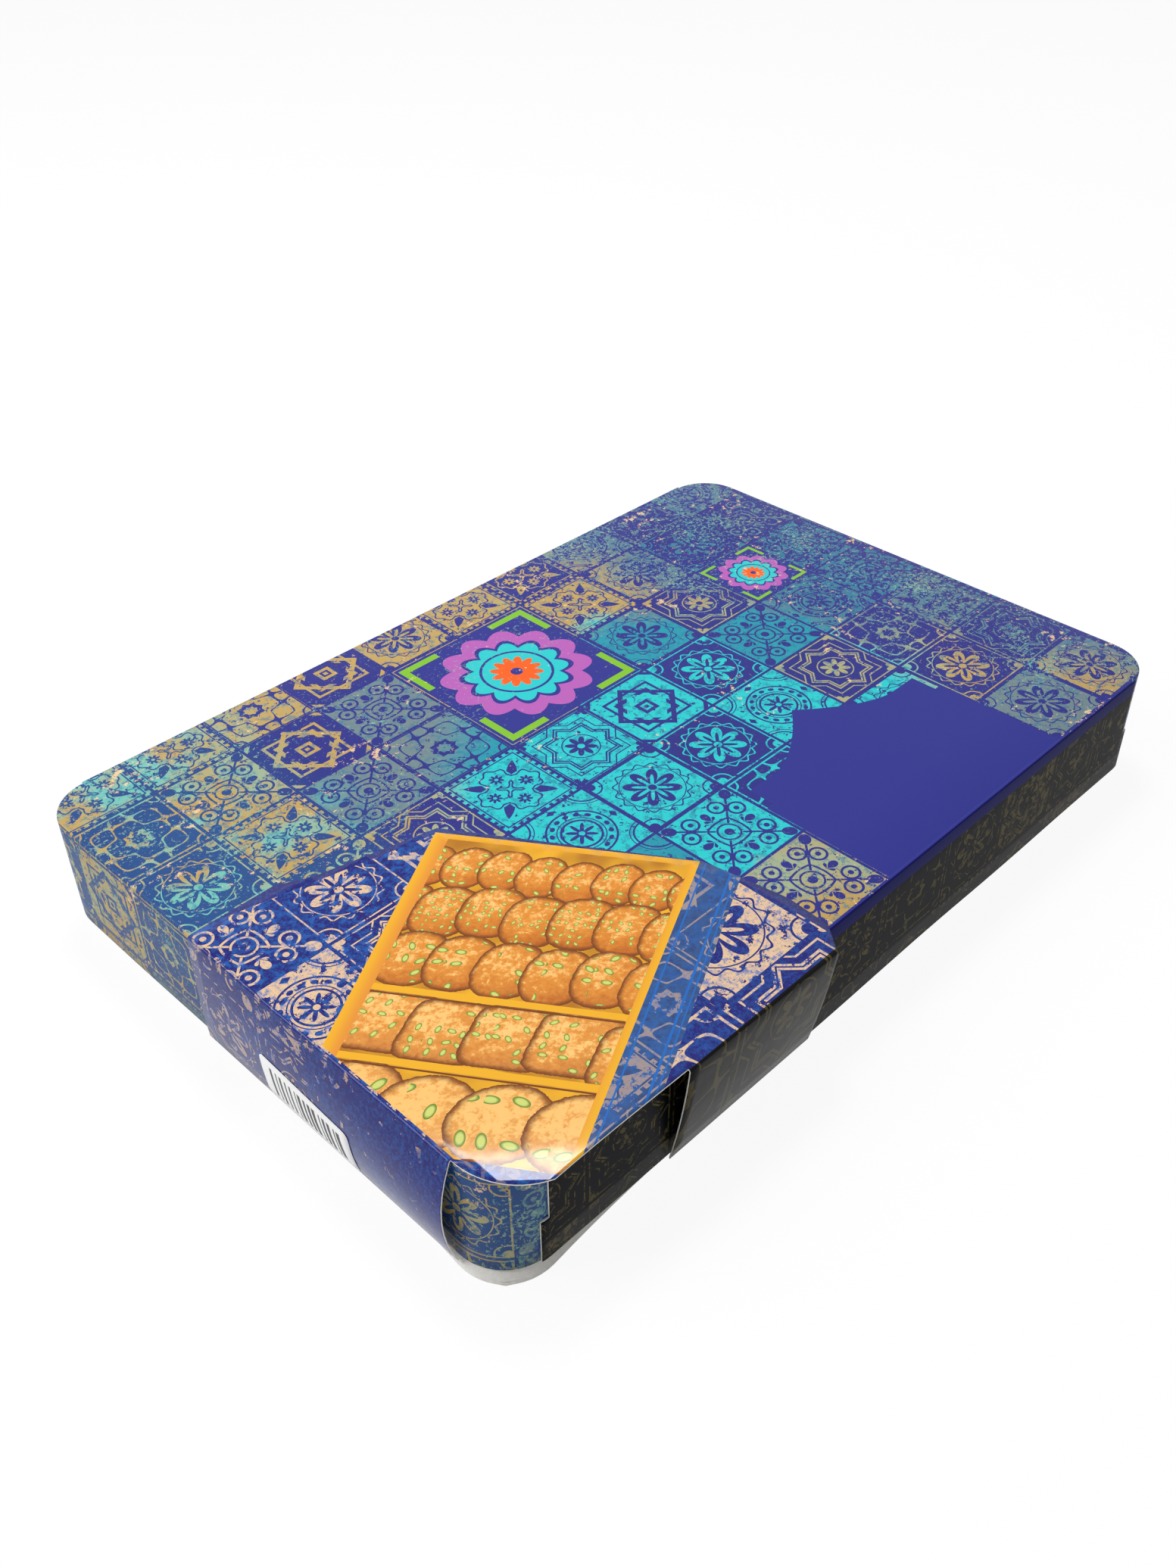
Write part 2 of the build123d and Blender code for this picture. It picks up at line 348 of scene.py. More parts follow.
def place_group(group, *terms):
    """Put a group into the tree of its first term, and return its outputs."""
    tree = terms[0].tree
    node = tree.nodes.new("ShaderNodeGroup")
    node.node_tree = group
    for term, socket in zip(terms, node.inputs):
        feed(term, socket)
    return [Value(tree, socket) for socket in node.outputs]


print("sockets that aren't plain numbers:", socket_kinds)

# %% [markdown]
# The photograph has a pure white background. The world is white where the camera, a
# reflection or glass sees it, and dimmer where it lights the object, so the white behind
# the box doesn't wash its colours out.

# %% World
sky_light = 0.35
background_ray_kinds = ("Is Camera Ray", "Is Glossy Ray", "Is Transmission Ray")


def background_rays(tree):
    """1 for a ray from the camera, off a gloss or through glass, and 0 for a lighting ray."""
    path = tree.nodes.new("ShaderNodeLightPath")
    return either(*(Value(tree, path.outputs[kind]) for kind in background_ray_kinds))


world = bpy.data.worlds.new("studio")
world.use_nodes = True
scene.world = world
background = world.node_tree.nodes["Background"]
background.inputs["Color"].default_value = (1, 1, 1, 1)
world_strength = sky_light + (1 - sky_light) * background_rays(world.node_tree)
feed(world_strength, background.inputs["Strength"])
print("nodes in the world:", len(world.node_tree.nodes))

# %% [markdown]
# The floor is a large pale square. For the same rays as above it glows a little, so that it
# runs into the white world, and it still takes the shadow of the box.

# %% Floor
floor_size = 6
floor_white = 0.9
floor_glow = 0.92
floor_constants = {"Roughness": 0.9, "Specular IOR Level": 0}


def start_material(name, constants):
    """A new material with numbers on its shader's own sockets, its tree and its shader."""
    material = bpy.data.materials.new(name)
    material.use_nodes = True
    tree = material.node_tree
    shader = tree.nodes["Principled BSDF"]
    for socket_name, number in constants.items():
        shader.inputs[socket_name].default_value = number
    return material, tree, shader


bm = bmesh.new()
bmesh.ops.create_grid(bm, x_segments=1, y_segments=1, size=floor_size / 2)
floor_mesh = bpy.data.meshes.new("studio_floor")
bm.to_mesh(floor_mesh)
bm.free()
floor_paint, tree, shader = start_material("pale_floor", floor_constants)
shader.inputs["Base Color"].default_value = (floor_white, floor_white, floor_white, 1)
glow = tree.nodes.new("ShaderNodeEmission")
floor_mix = tree.nodes.new("ShaderNodeMixShader")
feed(background_rays(tree) * floor_glow, floor_mix.inputs[0])
tree.links.new(shader.outputs[0], floor_mix.inputs[1])
tree.links.new(glow.outputs[0], floor_mix.inputs[2])
tree.links.new(floor_mix.outputs[0], tree.nodes["Material Output"].inputs["Surface"])
floor_mesh.materials.append(floor_paint)
studio_floor = add_object("studio_floor", floor_mesh)
print("floor in m:", [round(size, 2) for size in studio_floor.dimensions])

# %% [markdown]
# The lid's print is a patchwork of glazed tiles, a pattern as old as tiled courtyards. Each
# motif below is drawn on one square tile whose middle is 0, 0 and whose edges are at plus
# and minus one half, so every number in a motif is a place or a width as a share of the
# tile. Folding the tile along its axes and its diagonals first means that a motif needs
# only one eighth of its drawing: the rest appears by mirror symmetry.

# %% Folding and petals
diagonal = 0.7071


def fold_eighth(u, v):
    side = absolute(u)
    rise = absolute(v)
    return most(side, rise), least(side, rise)


def along_diagonal(far, near):
    """The place along the tile's diagonal and across it."""
    return (far + near) * diagonal, (far - near) * diagonal


def petals(radius, angle, waves, root, reach, slimness=1):
    """A flower whose outline swings between its root and that plus its reach."""
    return below(radius, root + reach * power(absolute(cosine(waves * angle)), slimness))


def star_distance(far, near):
    """The distance at which an eight-pointed star passes through a point."""
    return least(far, (far + near) * diagonal)


print("a tile's diagonal is folded by", diagonal)

# %% [markdown]
# Four of the motifs are made of rings, petals and leaves. The first two have a flower with
# leaves that point to the corners.

# %% Motifs with flowers and leaves


def ringed_daisy(u, v):
    radius = length(u, v)
    angle = angle_of(u, v)
    far, near = fold_eighth(u, v)
    corner = length(0.5 - absolute(u), 0.5 - absolute(v))
    rings = stripes(radius, (0.2, 0.024), (0.345, 0.022), (0.24, 0.012))
    corner_rings = stripes(corner, (0.21, 0.02), (0.25, 0.011))
    flower = without(petals(radius, angle, 4, 0.05, 0.11, 2), below(radius, 0.032))
    leaf = below(near + 1.6 * absolute(far - 0.43), 0.06)
    beads = below(length(fraction(angle * 16 / (2 * pi)) - 0.5, (radius - 0.29) * 12), 0.3)
    return 1 - either(rings, corner_rings, flower, leaf, beads)


def four_lobes(u, v):
    far, near = fold_eighth(u, v)
    lobe = length(far - 0.21, near)
    lobe_angle = angle_of(far - 0.21, near)
    outline = stripes(lobe - 0.018 * cosine(6 * lobe_angle), (0.155, 0.02))
    flower = without(petals(lobe, lobe_angle, 4, 0.035, 0.045), below(lobe, 0.02))
    along, across = along_diagonal(far, near)
    leaf = below(across + 1.4 * (along - 0.28) * (along - 0.28), 0.055) * between(along, 0.08, 0.5)
    border = stripes(far, (0.43, 0.016))
    teeth = above(far, 0.447) * below(fraction(near * 11), 0.45)
    return without(1 - either(outline, flower, border, teeth), leaf * above(lobe, 0.17))


print("motifs with leaves:", ringed_daisy.__name__, four_lobes.__name__)

# %% [markdown]
# The next two are built round a hub, with curled stems in one and scallops in the other.

# %% Motifs with scrolls and loops


def scrolled_cross(u, v):
    far, near = fold_eighth(u, v)
    radius = length(u, v)
    along, across = along_diagonal(far, near)
    across = absolute(across)
    hub = either(stripes(radius, (0.115, 0.022)), below(radius, 0.05))
    curl = length(far - 0.33, near - 0.19)
    curl_ring = either(stripes(curl, (0.085, 0.026)), below(curl, 0.03))
    stem = below(across, 0.012) * between(along, 0.13, 0.6)
    drop = below(length((along - 0.58) * 0.8, across), 0.062)
    arch = stripes(far + 1.1 * near * near, (0.175, 0.024)) * below(near, 0.16)
    palm = petals(length(far - 0.285, near), angle_of(far - 0.22, near), 2.5, 0.03, 0.05)
    return either(hub, curl_ring, stem, drop, arch, palm * above(far, 0.21))


def looped_flower(u, v):
    radius = length(u, v)
    angle = angle_of(u, v)
    far, near = fold_eighth(u, v)
    flower = without(petals(radius, angle, 4, 0.1, 0.2, 0.7), petals(radius, angle, 4, 0.06, 0.15, 4))
    scallops = stripes(radius - 0.022 * cosine(16 * angle), (0.375, 0.018))
    rings = either(scallops, stripes(radius, (0.335, 0.011)), stripes(far, (0.475, 0.018)))
    corner = length(far - 0.44, near - 0.44)
    corner_marks = either(stripes(corner, (0.12, 0.018)), below(corner, 0.055))
    return either(flower, below(radius, 0.045), rings, corner_marks)


print("motifs round a hub:", scrolled_cross.__name__, looped_flower.__name__)

# %% [markdown]
# The other three are built from stars, squares and a lattice. The lattice is the line where
# two waves and a ripple cancel out, which gives a lace that nobody has to plot.

# %% Straight motifs


def eight_point_star(u, v):
    far, near = fold_eighth(u, v)
    radius = length(u, v)
    angle = angle_of(u, v)
    star = star_distance(far, near)
    band = without(between(star, 0.25, 0.3), stripes(star, (0.275, 0.012)))
    lines = either(stripes(star, (0.36, 0.015)), stripes(far, (0.47, 0.016)), stripes(radius, (0.2, 0.014)))
    rose = without(petals(radius, angle, 4, 0.07, 0.1), below(radius, 0.04))
    corner_x = far - 0.45
    corner_y = near - 0.45
    corner = petals(length(corner_x, corner_y), angle_of(corner_x, corner_y), 2, 0.03, 0.06)
    return either(band, lines, rose, corner)


def nested_squares(u, v):
    far, near = fold_eighth(u, v)
    turned = far + near
    square = between(turned, 0.36, 0.44)
    borders = either(between(far, 0.2, 0.255), between(far, 0.31, 0.345)) * between(turned, 0.3, 0.7)
    heart = either(between(far, 0.055, 0.1), below(far, 0.025))
    return either(square, borders, heart, between(turned, 0.86, 0.93))


def laced_lattice(u, v):
    far, near = fold_eighth(u, v)
    radius = length(u, v)
    ripple = 0.55 * cosine(6 * pi * radius) + 0.25 * cosine(8 * angle_of(u, v))
    swell = cosine(4 * pi * u) * cosine(4 * pi * v) + ripple
    lace = without(stripes(swell, (0.15, 0.34)), below(far, 0.13))
    hub = between(star_distance(far, near), 0.06, 0.11)
    return either(lace, hub, stripes(far, (0.47, 0.02))) * below(far, 0.49)


print("straight motifs:", eight_point_star.__name__, nested_squares.__name__, laced_lattice.__name__)

# %% [markdown]
# Every motif becomes one node group, so that its nodes are placed once however many prints
# use it.

# %% Groups of the motifs
motifs = (
    ringed_daisy, four_lobes, scrolled_cross, looped_flower,
    eight_point_star, nested_squares, laced_lattice,
)
motif_groups = {
    draw.__name__: make_group("tile_" + draw.__name__, ["U", "V"], ["Ink"], lambda u, v: [draw(u, v)])
    for draw in motifs
}

# %% [markdown]
# Each tile picks its motif by chance, from a white noise of its column and row, which gives
# the same answer every time. The result is one mask: where the tile's ink lies.

# %% A patchwork of tiles
tile_pitch = 29.8
gap_share = 0.035
second_draw = 7


def patchwork(x, y, seed, pitch=tile_pitch):
    """Ink mask of random tiles, the mask of the gaps between them, and a chance per tile."""
    column = whole(x / pitch)
    row = whole(y / pitch)
    u = fraction(x / pitch) - 0.5
    v = fraction(y / pitch) - 0.5
    number = whole(chance(point(column, row, seed)) * len(motif_groups))
    tiles = 0
    for kind, group in enumerate(motif_groups.values()):
        picked = below(absolute(number - kind), 0.5)
        tiles = tiles + place_group(group, u, v)[0] * picked
    gaps = above(most(absolute(u), absolute(v)), 0.5 - gap_share / 2)
    return without(tiles, gaps), gaps, chance(point(column, row, seed + second_draw))


print("motifs to choose from:", len(motif_groups))

# %% [markdown]
# Print on a sweet box is often made to look old: ink flaked off in small chips, and specks
# of gold over the colours. Two noises do this. A slow one says where the wear is heavy and
# a fast one breaks it into chips, so the wear comes in drifts and not evenly. The amount of
# wear is 0 for new print and 1 for very worn.

# %% Worn print, shared by the lid and the wrap
chip_limit = 0.93
speck_limit = 0.46


def draw_worn_print(place, wear):
    drift = cloud(place, 0.035, 3.0)
    chips = cloud(place, 0.32, 6.0, 0.75) + 0.5 * drift + 0.1 * wear
    specks = cloud(place, 0.75, 4.0, 0.8) - 0.4 * drift + 0.14 * wear
    return above(chips, chip_limit), above(specks, speck_limit)


worn_print = make_group("worn_print", ["Place", "Wear"], ["Chips", "Specks"], draw_worn_print)

# %% [markdown]
# A printed piece reads its place from a UV map called flat_sheet, which holds where each
# point lay before the board was folded. Other pieces read their place on the object. A
# bump of fibres or grain breaks up the gloss of every finish.

# %% Places and bumps for materials


def flat_sheet_place(tree):
    """The unfolded place on the sheet, in millimetres."""
    map_node = tree.nodes.new("ShaderNodeUVMap")
    map_node.uv_map = "flat_sheet"
    x, y = split(Value(tree, map_node.outputs["UV"]))[:2]
    return x / mm, y / mm


def object_place(tree):
    """The place on the object, in millimetres."""
    coordinates = tree.nodes.new("ShaderNodeTexCoord")
    return [number / mm for number in split(Value(tree, coordinates.outputs["Object"]))]


def add_bump(tree, shader, height, distance, strength=1.0):
    bump = tree.nodes.new("ShaderNodeBump")
    bump.inputs["Strength"].default_value = strength
    bump.inputs["Distance"].default_value = distance
    feed(height, bump.inputs["Height"])
    tree.links.new(bump.outputs["Normal"], shader.inputs["Normal"])


print("places are read in units of", mm, "m")

# %% [markdown]
# The inks of both prints are named once. They are written as a screen shows them, a little
# deeper than they look under the lamps, because varnish adds light of its own.

# %% Inks
royal_blue = ink(38, 42, 128)
deep_navy = ink(22, 24, 92)
turquoise = ink(34, 188, 190)
teal = ink(24, 110, 142)
old_gold = ink(178, 148, 84)
cream = ink(232, 196, 150)
orange = ink(240, 90, 20)
violet = ink(170, 88, 170)
lime = ink(120, 178, 40)
# painted shade: the next two inks are the tiles of the long walls and the long flap as seen in shade
wall_shade_black = ink(8, 9, 16)
shaded_gold = ink(84, 76, 44)
print("royal blue as the shader reads it:", [round(channel, 3) for channel in royal_blue])

# %% [markdown]
# Two rosettes with twelve petals lie over the tiles. A rosette is painted as a stack: each
# layer is a smaller flower in another colour. The last petals are turned by half a petal,
# so that they point between the others.

# %% Rosettes
half_length_mm = half_length / mm
half_width_mm = half_width / mm
grid_x = -121.4
grid_y = -99.6
big_rosette = (grid_x + 4 * tile_pitch, grid_y + 5 * tile_pitch, 2 * tile_pitch)
small_rosette = (grid_x + 7.5 * tile_pitch, grid_y + 4.5 * tile_pitch, tile_pitch)
petal_pairs = 6
half_petal = pi / 12


def lay_rosette(colour, x, y, middle_x, middle_y, size):
    """Lay a rosette in a square frame over a colour."""
    u = (x - middle_x) / size
    v = (y - middle_y) / size
    radius = length(u, v)
    angle = angle_of(u, v)
    far, near = fold_eighth(u, v)
    return paint(
        colour,
        (below(far, 0.485), royal_blue),
        (between(far, 0.42, 0.465) * above(near, 0.2), lime),
        (petals(radius, angle, petal_pairs, 0.36, 0.07), violet),
        (petals(radius, angle, petal_pairs, 0.265, 0.06), royal_blue),
        (petals(radius, angle, petal_pairs, 0.235, 0.06), turquoise),
        (stripes(radius, (0.2, 0.016)), royal_blue),
        (petals(radius, angle + half_petal, petal_pairs, 0.1, 0.05), orange),
        (below(radius, 0.035), royal_blue),
    )


print("the big rosette is", round(big_rosette[2], 1), "mm wide")

# %% [markdown]
# A bare plaque with a pointed arch lies over the tiles too. The arch is a power of the
# distance from its middle: a power above 1 makes the point.

# %% Plaque
plaque_middle = 43.0
plaque_half_width = 44.5
plaque_shoulder = -56.0
shoulder_step = 3.0
arch_start = -47.0
arch_rise = 17.0
arch_half_width = 30.0
arch_power = 1.6


def plaque_shape(x, y):
    """A plaque from the lid's long edge up to a pointed arch, narrower above its shoulders."""
    across = absolute(x - plaque_middle)
    arch = arch_start + arch_rise * power(1 - least(across / arch_half_width, 1), arch_power)
    narrowing = shoulder_step * above(y, plaque_shoulder)
    return between(y, -half_width_mm, arch) * below(across, plaque_half_width - narrowing)


print("the plaque is", 2 * plaque_half_width, "mm wide")

# %% [markdown]
# The lid's colours change across it: turquoise in the middle, gold on navy at the back,
# speckled teal at the wrapped end and thin specks at the far end. Each of these is a soft
# weight made from the place on the lid, with noise on its border.

# %% Regions of the lid
middle_of_turquoise = (10, -22)
reach_of_turquoise = (95, 75)
far_end_ramp = (78, 110)
near_end_ramp = (-70, -112)
border_waver = 60


def lid_regions(x, y, place):
    """Soft weights of the turquoise middle, the far end and the wrapped end."""
    waver = (cloud(place, 0.03, 4.0) - 0.5) * border_waver
    u = (x - middle_of_turquoise[0] + waver) / reach_of_turquoise[0]
    v = (y - middle_of_turquoise[1] + waver) / reach_of_turquoise[1]
    middle = ramp(length(u, v), 1.05, 0.8)
    return middle, ramp(x + 0.4 * y + waver, *far_end_ramp), ramp(x + waver * 0.5, *near_end_ramp)


print("turquoise reaches", reach_of_turquoise, "mm from its middle")

# %% [markdown]
# A third of the tiles have their ink and their ground swapped. Some tiles take another ink
# than their neighbours, and a fine noise glazes all of them unevenly.

# %% Ink of the lid's tiles
tile_seed = 8.0
swapped_above = 0.66
colour_draws = 7
flaked_above = 0.6


def draw_tiles(x, y):
    """The mask of the tiles' ink, and a chance that picks each tile's colour."""
    tiles, gaps, tile_chance = patchwork(x - grid_x, y - grid_y, tile_seed)
    swapped = absolute(tiles - above(tile_chance, swapped_above))
    return without(swapped, gaps), fraction(tile_chance * colour_draws)


def choose_tile_ink(x, y, colour_chance, glaze, middle, far, near):
    """The ink of the tiles at each place of the lid."""
    drifts = ramp(cloud(point(x, y, 2.0), 0.05, 3.0), 0.4, 0.6)
    on_top = below(most(absolute(x) - half_length_mm, absolute(y) - half_width_mm), 0)
    return paint(
        old_gold,
        (middle, turquoise),
        (above(colour_chance, 0.75) * 0.7, teal),
        (below(colour_chance, 0.12) * middle * 0.8, old_gold),
        (far * 0.8, teal),
        (near * drifts * (0.2 + 0.5 * on_top), turquoise),
        (ramp(glaze, 0.5, 0.6) * 0.6, teal),
    )


print("share of tiles with swapped ink:", round(1 - swapped_above, 2))

# %% [markdown]
# Now the whole print: tiles on a mottled ground, the two rosettes, specks and chips of
# wear, and the plaque. On the long walls the tiles are painted in shade: a near-black
# ground with dim gold tiles, under a narrow navy edge that runs down from the top panel.

# %% Print of the lid
navy_edge = 5.5


def draw_lid_print(tree):
    x, y = flat_sheet_place(tree)
    place = point(x, y)
    middle, far, near = lid_regions(x, y, place)
    tiles, colour_chance = draw_tiles(x, y)
    glaze = cloud(point(x, y, 11.0), 0.35, 5.0, 0.75)
    flaking = cloud(point(x, y, 5.0), 0.5, 5.0, 0.7) + 0.07 * far + 0.03 * near
    shown = without(tiles, above(flaking, flaked_above))
    chips, specks = place_group(worn_print, place, 0.3 + 0.15 * far + 0.1 * near - 0.2 * middle)
    ground = paint(royal_blue, (near * 0.4, teal), (cloud(place, 0.02, 2.0) * 0.5, deep_navy))
    tile_ink = choose_tile_ink(x, y, colour_chance, glaze, middle, far, near)
    colour = paint(ground, (shown, tile_ink))
    colour = lay_rosette(colour, x, y, *big_rosette)
    colour = lay_rosette(colour, x, y, *small_rosette)
    speck_ink = paint(turquoise, (cloud(point(x, y, 9.0), 0.06, 2.0), old_gold))
    colour = paint(
        colour,
        (without(specks * 0.85, middle * 0.6), speck_ink),
        (chips * 0.8, cream),
        (plaque_shape(x, y), royal_blue),
    )
    past_edge = absolute(y) - half_width_mm
    long_side = above(past_edge, 0.0) * below(absolute(x), half_length_mm)
    rubbed = below(specks, 0.5) * ramp(glaze, 0.45, 0.55)
    # painted shade: the long walls get a near-black ground, dim gold tiles and a deep navy edge
    dark = paint(wall_shade_black, (without(shown, rubbed), shaded_gold), (below(past_edge, navy_edge), deep_navy))
    return paint(colour, (long_side, dark)), long_side


print("navy edge on the long walls in mm:", navy_edge)

# %% [markdown]
# The print feeds the Base Color of a Principled BSDF. A thin varnish lies on the top and
# the short ends and is left off the long walls, which would otherwise mirror the white
# floor and turn grey. Numbers that are the same everywhere are set on the shader itself.

# %% Printed board of the lid
lid_constants = {"Coat Roughness": 0.36, "Roughness": 0.4, "Specular IOR Level": 0.03}
lid_varnish = 0.3
lid_fibre_height = 0.03 * mm

printed_lid, tree, shader = start_material("printed_lid_board", lid_constants)
lid_colour, long_side = draw_lid_print(tree)
feed(lid_colour, shader.inputs["Base Color"])
feed(lid_varnish * (1 - long_side), shader.inputs["Coat Weight"])
x, y = flat_sheet_place(tree)
add_bump(tree, shader, cloud(point(x, y), 1.4, 3.0), lid_fibre_height, 0.6)
print("nodes in the lid's print:", len(tree.nodes))

# %% [markdown]
# The wrap carries a picture of what is inside, framed in gold like the liner. It is drawn
# in two turned axes: along the rows of sweets and across them. None of it is a photograph:
# it is the same kind of formula as the tiles, with warmer colours.

# %% Axes and inks of the wrap's picture
picture_start = (73.0, 105.0)
row_direction = (0.564, -0.826)
picture_width = 76.0
picture_depth = 110.5
left_slant = -0.076
right_slant = 0.136
dark_syrup = ink(112, 56, 10)
biscuit = ink(234, 178, 98)
baked_brown = ink(176, 92, 22)
amber = ink(216, 138, 46)
pale_crust = ink(240, 194, 118)
gold_ink = ink(226, 166, 30)
gold_shade = ink(168, 108, 20)
pistachio_green = ink(196, 204, 110)
pistachio_skin = ink(104, 132, 44)


def picture_axes(x, y):
    from_start_x = x - picture_start[0]
    from_start_y = y - picture_start[1]
    along = from_start_x * row_direction[0] + from_start_y * row_direction[1]
    across = from_start_x * row_direction[1] - from_start_y * row_direction[0]
    return along, across


print("the picture is", picture_width, "x", picture_depth, "mm")

# %% [markdown]
# The sweets in the picture are strewn with halved nuts. Each nut is an oval in a cell of
# its own, turned and shifted by chance, and some cells stay empty.

# %% Nuts in the picture
nut_length = 0.36
nut_width = 0.2
share_without_nut = 0.45


def strew_nuts(along, across, size, seed):
    """How far inside a nut a point is, or less than 0 outside all of them."""
    draw = chance(point(whole(along / size), whole(across / size), seed))
    turn = draw * 2 * pi
    shift = 0.3 * (fraction(draw * 13) - 0.5)
    p = fraction(along / size) - 0.5 + shift
    q = fraction(across / size) - 0.5 - shift
    lengthwise = (p * cosine(turn) + q * sine(turn)) / nut_length
    crosswise = (q * cosine(turn) - p * sine(turn)) / nut_width
    return 1 - length(lengthwise, crosswise) - 2 * below(fraction(draw * 29), share_without_nut)


print("a nut takes", nut_length, "by", nut_width, "of its cell")

# %% [markdown]
# A row of sweets is a node group, because five rows use it and each is laid twice: once for
# the sweets below, and once for the neighbours that cover their edges. The row is cut into
# cells. Each cell holds one sweet, an oval that a power bends from round to square. It is
# shaded as a dome lit from the upper left and browned at its rim.

# %% A row of sweets
overlap = 1.45
nut_seed = 40


def draw_sweets(along, across, start, depth, pitch, squareness, paleness, nut_size, seed, step):
    """The colour and the mask of every sweet of one row."""
    lift = 0.12 * (chance(point(whole(along / pitch) + step, seed)) - 0.5)
    p = (fraction(along / pitch) - 0.3 - step) / overlap
    q = (across - start) / depth - 0.5 + lift
    crust = cloud(point(along, across, seed + 3.7 * step), 0.5, 5.0, 0.7)
    slant = absolute(p + 0.1 * q) * 2.1
    sides = power(slant, squareness) + power(absolute(q) * 2.1, squareness)
    inside = 1 - power(sides, 1 / squareness) + (crust - 0.5) * 0.12
    lit = ramp(inside * 0.45 - p * 0.45 - q * 0.55 + (crust - 0.5) * 1.2, -0.4, 0.5)
    surface = paint(
        baked_brown,
        (lit, amber),
        (ramp(lit + crust + 0.2 * paleness, 1.35, 1.7), pale_crust),
        (ramp(crust, 0.1, 0.6) * 0.6 * paleness, biscuit),
    )
    nuts = strew_nuts(along + 5 * step, across, nut_size, seed + nut_seed)
    nut = paint(pistachio_skin, (ramp(nuts, 0.1, 0.5), pistachio_green))
    colour = paint(
        dark_syrup,
        (ramp(inside, 0.0, 0.2), surface),
        (above(nuts, 0.0) * above(inside, 0.12), nut),
    )
    return colour, between(across, start, start + depth) * above(inside, 0.0)


sweet_row = make_group(
    "sweet_row",
    ["Along", "Across", "Start", "Depth", "Pitch", "Squareness", "Paleness", "Nut Size", "Seed", "Step"],
    ["Colour", "Mask"],
    draw_sweets,
)

# %% [markdown]
# The picture is laid up like the real tray: a gold ground, rows of sweets, card strips
# between some of them, and the tray's own edge last, so that it covers the ends of the rows.
# The rows change from small and brown to large and pale.

# %% Picture on the wrap
# Start, depth, pitch, squareness, paleness and size of the nuts, row by row
picture_rows = [
    (4.5, 19.0, 10.6, 2.0, 0.0, 3.1),
    (20.5, 21.5, 12.4, 2.6, 0.0, 2.3),
    (39.5, 22.0, 12.8, 2.4, 0.1, 4.4),
    (63.0, 22.0, 16.0, 5.0, 0.4, 3.6),
    (86.0, 25.0, 18.5, 2.0, 1.0, 6.8),
]
row_shift = 3.0
strip_places = (61.8, 85.2)
gold_wall = 4.5
gold_strip = 2.2
strip_shadow = 0.6
fold_margin = 0.6


def draw_picture(x, along, across, colour):
    left_side = across * left_slant
    right_side = picture_width - right_slant * across
    shade = cloud(point(along, across), 0.05, 2.0)
    tray = paint(gold_shade, (ramp(shade, 0.35, 0.65), gold_ink))
    for number, row in enumerate(picture_rows):
        skewed = along - left_side + row_shift * number
        for step in (0, 1):
            sweets, mask = place_group(sweet_row, skewed, across, *row, 2 * number + 1, step)
            tray = paint(tray, (mask, sweets))
    for place in strip_places:
        strip = stripes(across, (place, gold_strip))
        shadow = stripes(across, (place + 0.8 * gold_strip, strip_shadow))
        tray = paint(tray, (strip, gold_ink), (shadow, dark_syrup))
    edge = least(along - left_side, least(right_side - along, across))
    walls = either(below(edge, gold_wall / 2), below(along - left_side, gold_wall))
    tray = paint(tray, (walls, paint(gold_ink, (ramp(edge, 0.0, gold_wall), amber))))
    inside = between(across, 0, picture_depth) * between(along, left_side, right_side)
    return paint(colour, (inside * above(x, fold_margin), tray))


print("rows of sweets in the picture:", len(picture_rows))

# %% [markdown]
# Beside the picture the wrap has cream tiles on navy. They are fine to the left of it and
# bold to the right, around one large rosette tile. The same ink flakes off in places.

# %% Tiles of the wrap
bold_pitch = 44.0
fine_pitch = 31.0
large_tile = 42.0
large_tile_middle = (97.0, 22.0)
tile_border = 0.48


def draw_wrap_tiles(x, y, right_part):
    """The mask of all tiles of the wrap, and of its fine tiles alone."""
    bold = patchwork(x + 12.0, y - 6.0, 11.0, bold_pitch)[0]
    fine = patchwork(x + 8.0, y + 3.0, 31.0, fine_pitch)[0]
    u = (x - large_tile_middle[0]) / large_tile
    v = (y - large_tile_middle[1]) / large_tile
    on_large = below(most(absolute(u), absolute(v)), tile_border)
    large = 1 - place_group(motif_groups["looped_flower"], u, v)[0]
    right = either(large * on_large, without(bold, on_large))
    return either(right * right_part, without(fine, right_part)), fine


print("the wrap's large tile is", large_tile, "mm wide")

# %% [markdown]
# A band of steel blue runs along the picture's right side, with three thin lines, and a
# navy border follows the die-cut edge.

# %% Band and border of the wrap
steel_blue = ink(46, 80, 128)
steel_shade = ink(36, 56, 110)
wrap_navy = ink(16, 16, 104)
bright_blue = ink(24, 96, 176)
band_width = 12.5
band_lines = [(1.8, 0.5), (9.5, 0.7), (11.2, 0.4)]
band_start = -4.0
border_width = 2.2
border_corner = (74.5, 106.2)
right_border = 120.0
front_direction = (0.838, 0.544)
back_direction = (0.223, 0.975)


def draw_band(beside, worn_tiles, fibres, flaking):
    return paint(
        steel_blue,
        (ramp(fibres, 0.35, 0.7), steel_shade),
        (worn_tiles * 0.35, cream),
        (ramp(flaking, 0.5, 0.56) * 0.3, bright_blue),
        (stripes(beside, *band_lines), bright_blue),
    )


def past_border(x, y):
    """How far a point lies past the die-cut edge, or less than 0 inside it."""
    from_x = x - border_corner[0]
    from_y = y - border_corner[1]
    past_front = from_x * front_direction[0] + from_y * front_direction[1]
    past_back = from_x * back_direction[0] + from_y * back_direction[1]
    return most(most(past_front, past_back), x - right_border)


print("lines on the band:", len(band_lines))

# %% [markdown]
# The whole print of the wrap is worn thin towards its corner and on the short flap. The
# long flap is painted nearly black as shade, like the lid's long walls.

# %% Print of the wrap
# painted shade: near-black brown of the long flap, seen in shade
flap_shade_brown = ink(20, 18, 18)
wrap_wear = 0.9
near_corner_ramp = (80, 50)
front_lip_ramp = (26, 20)
long_flap_edge = -5.8


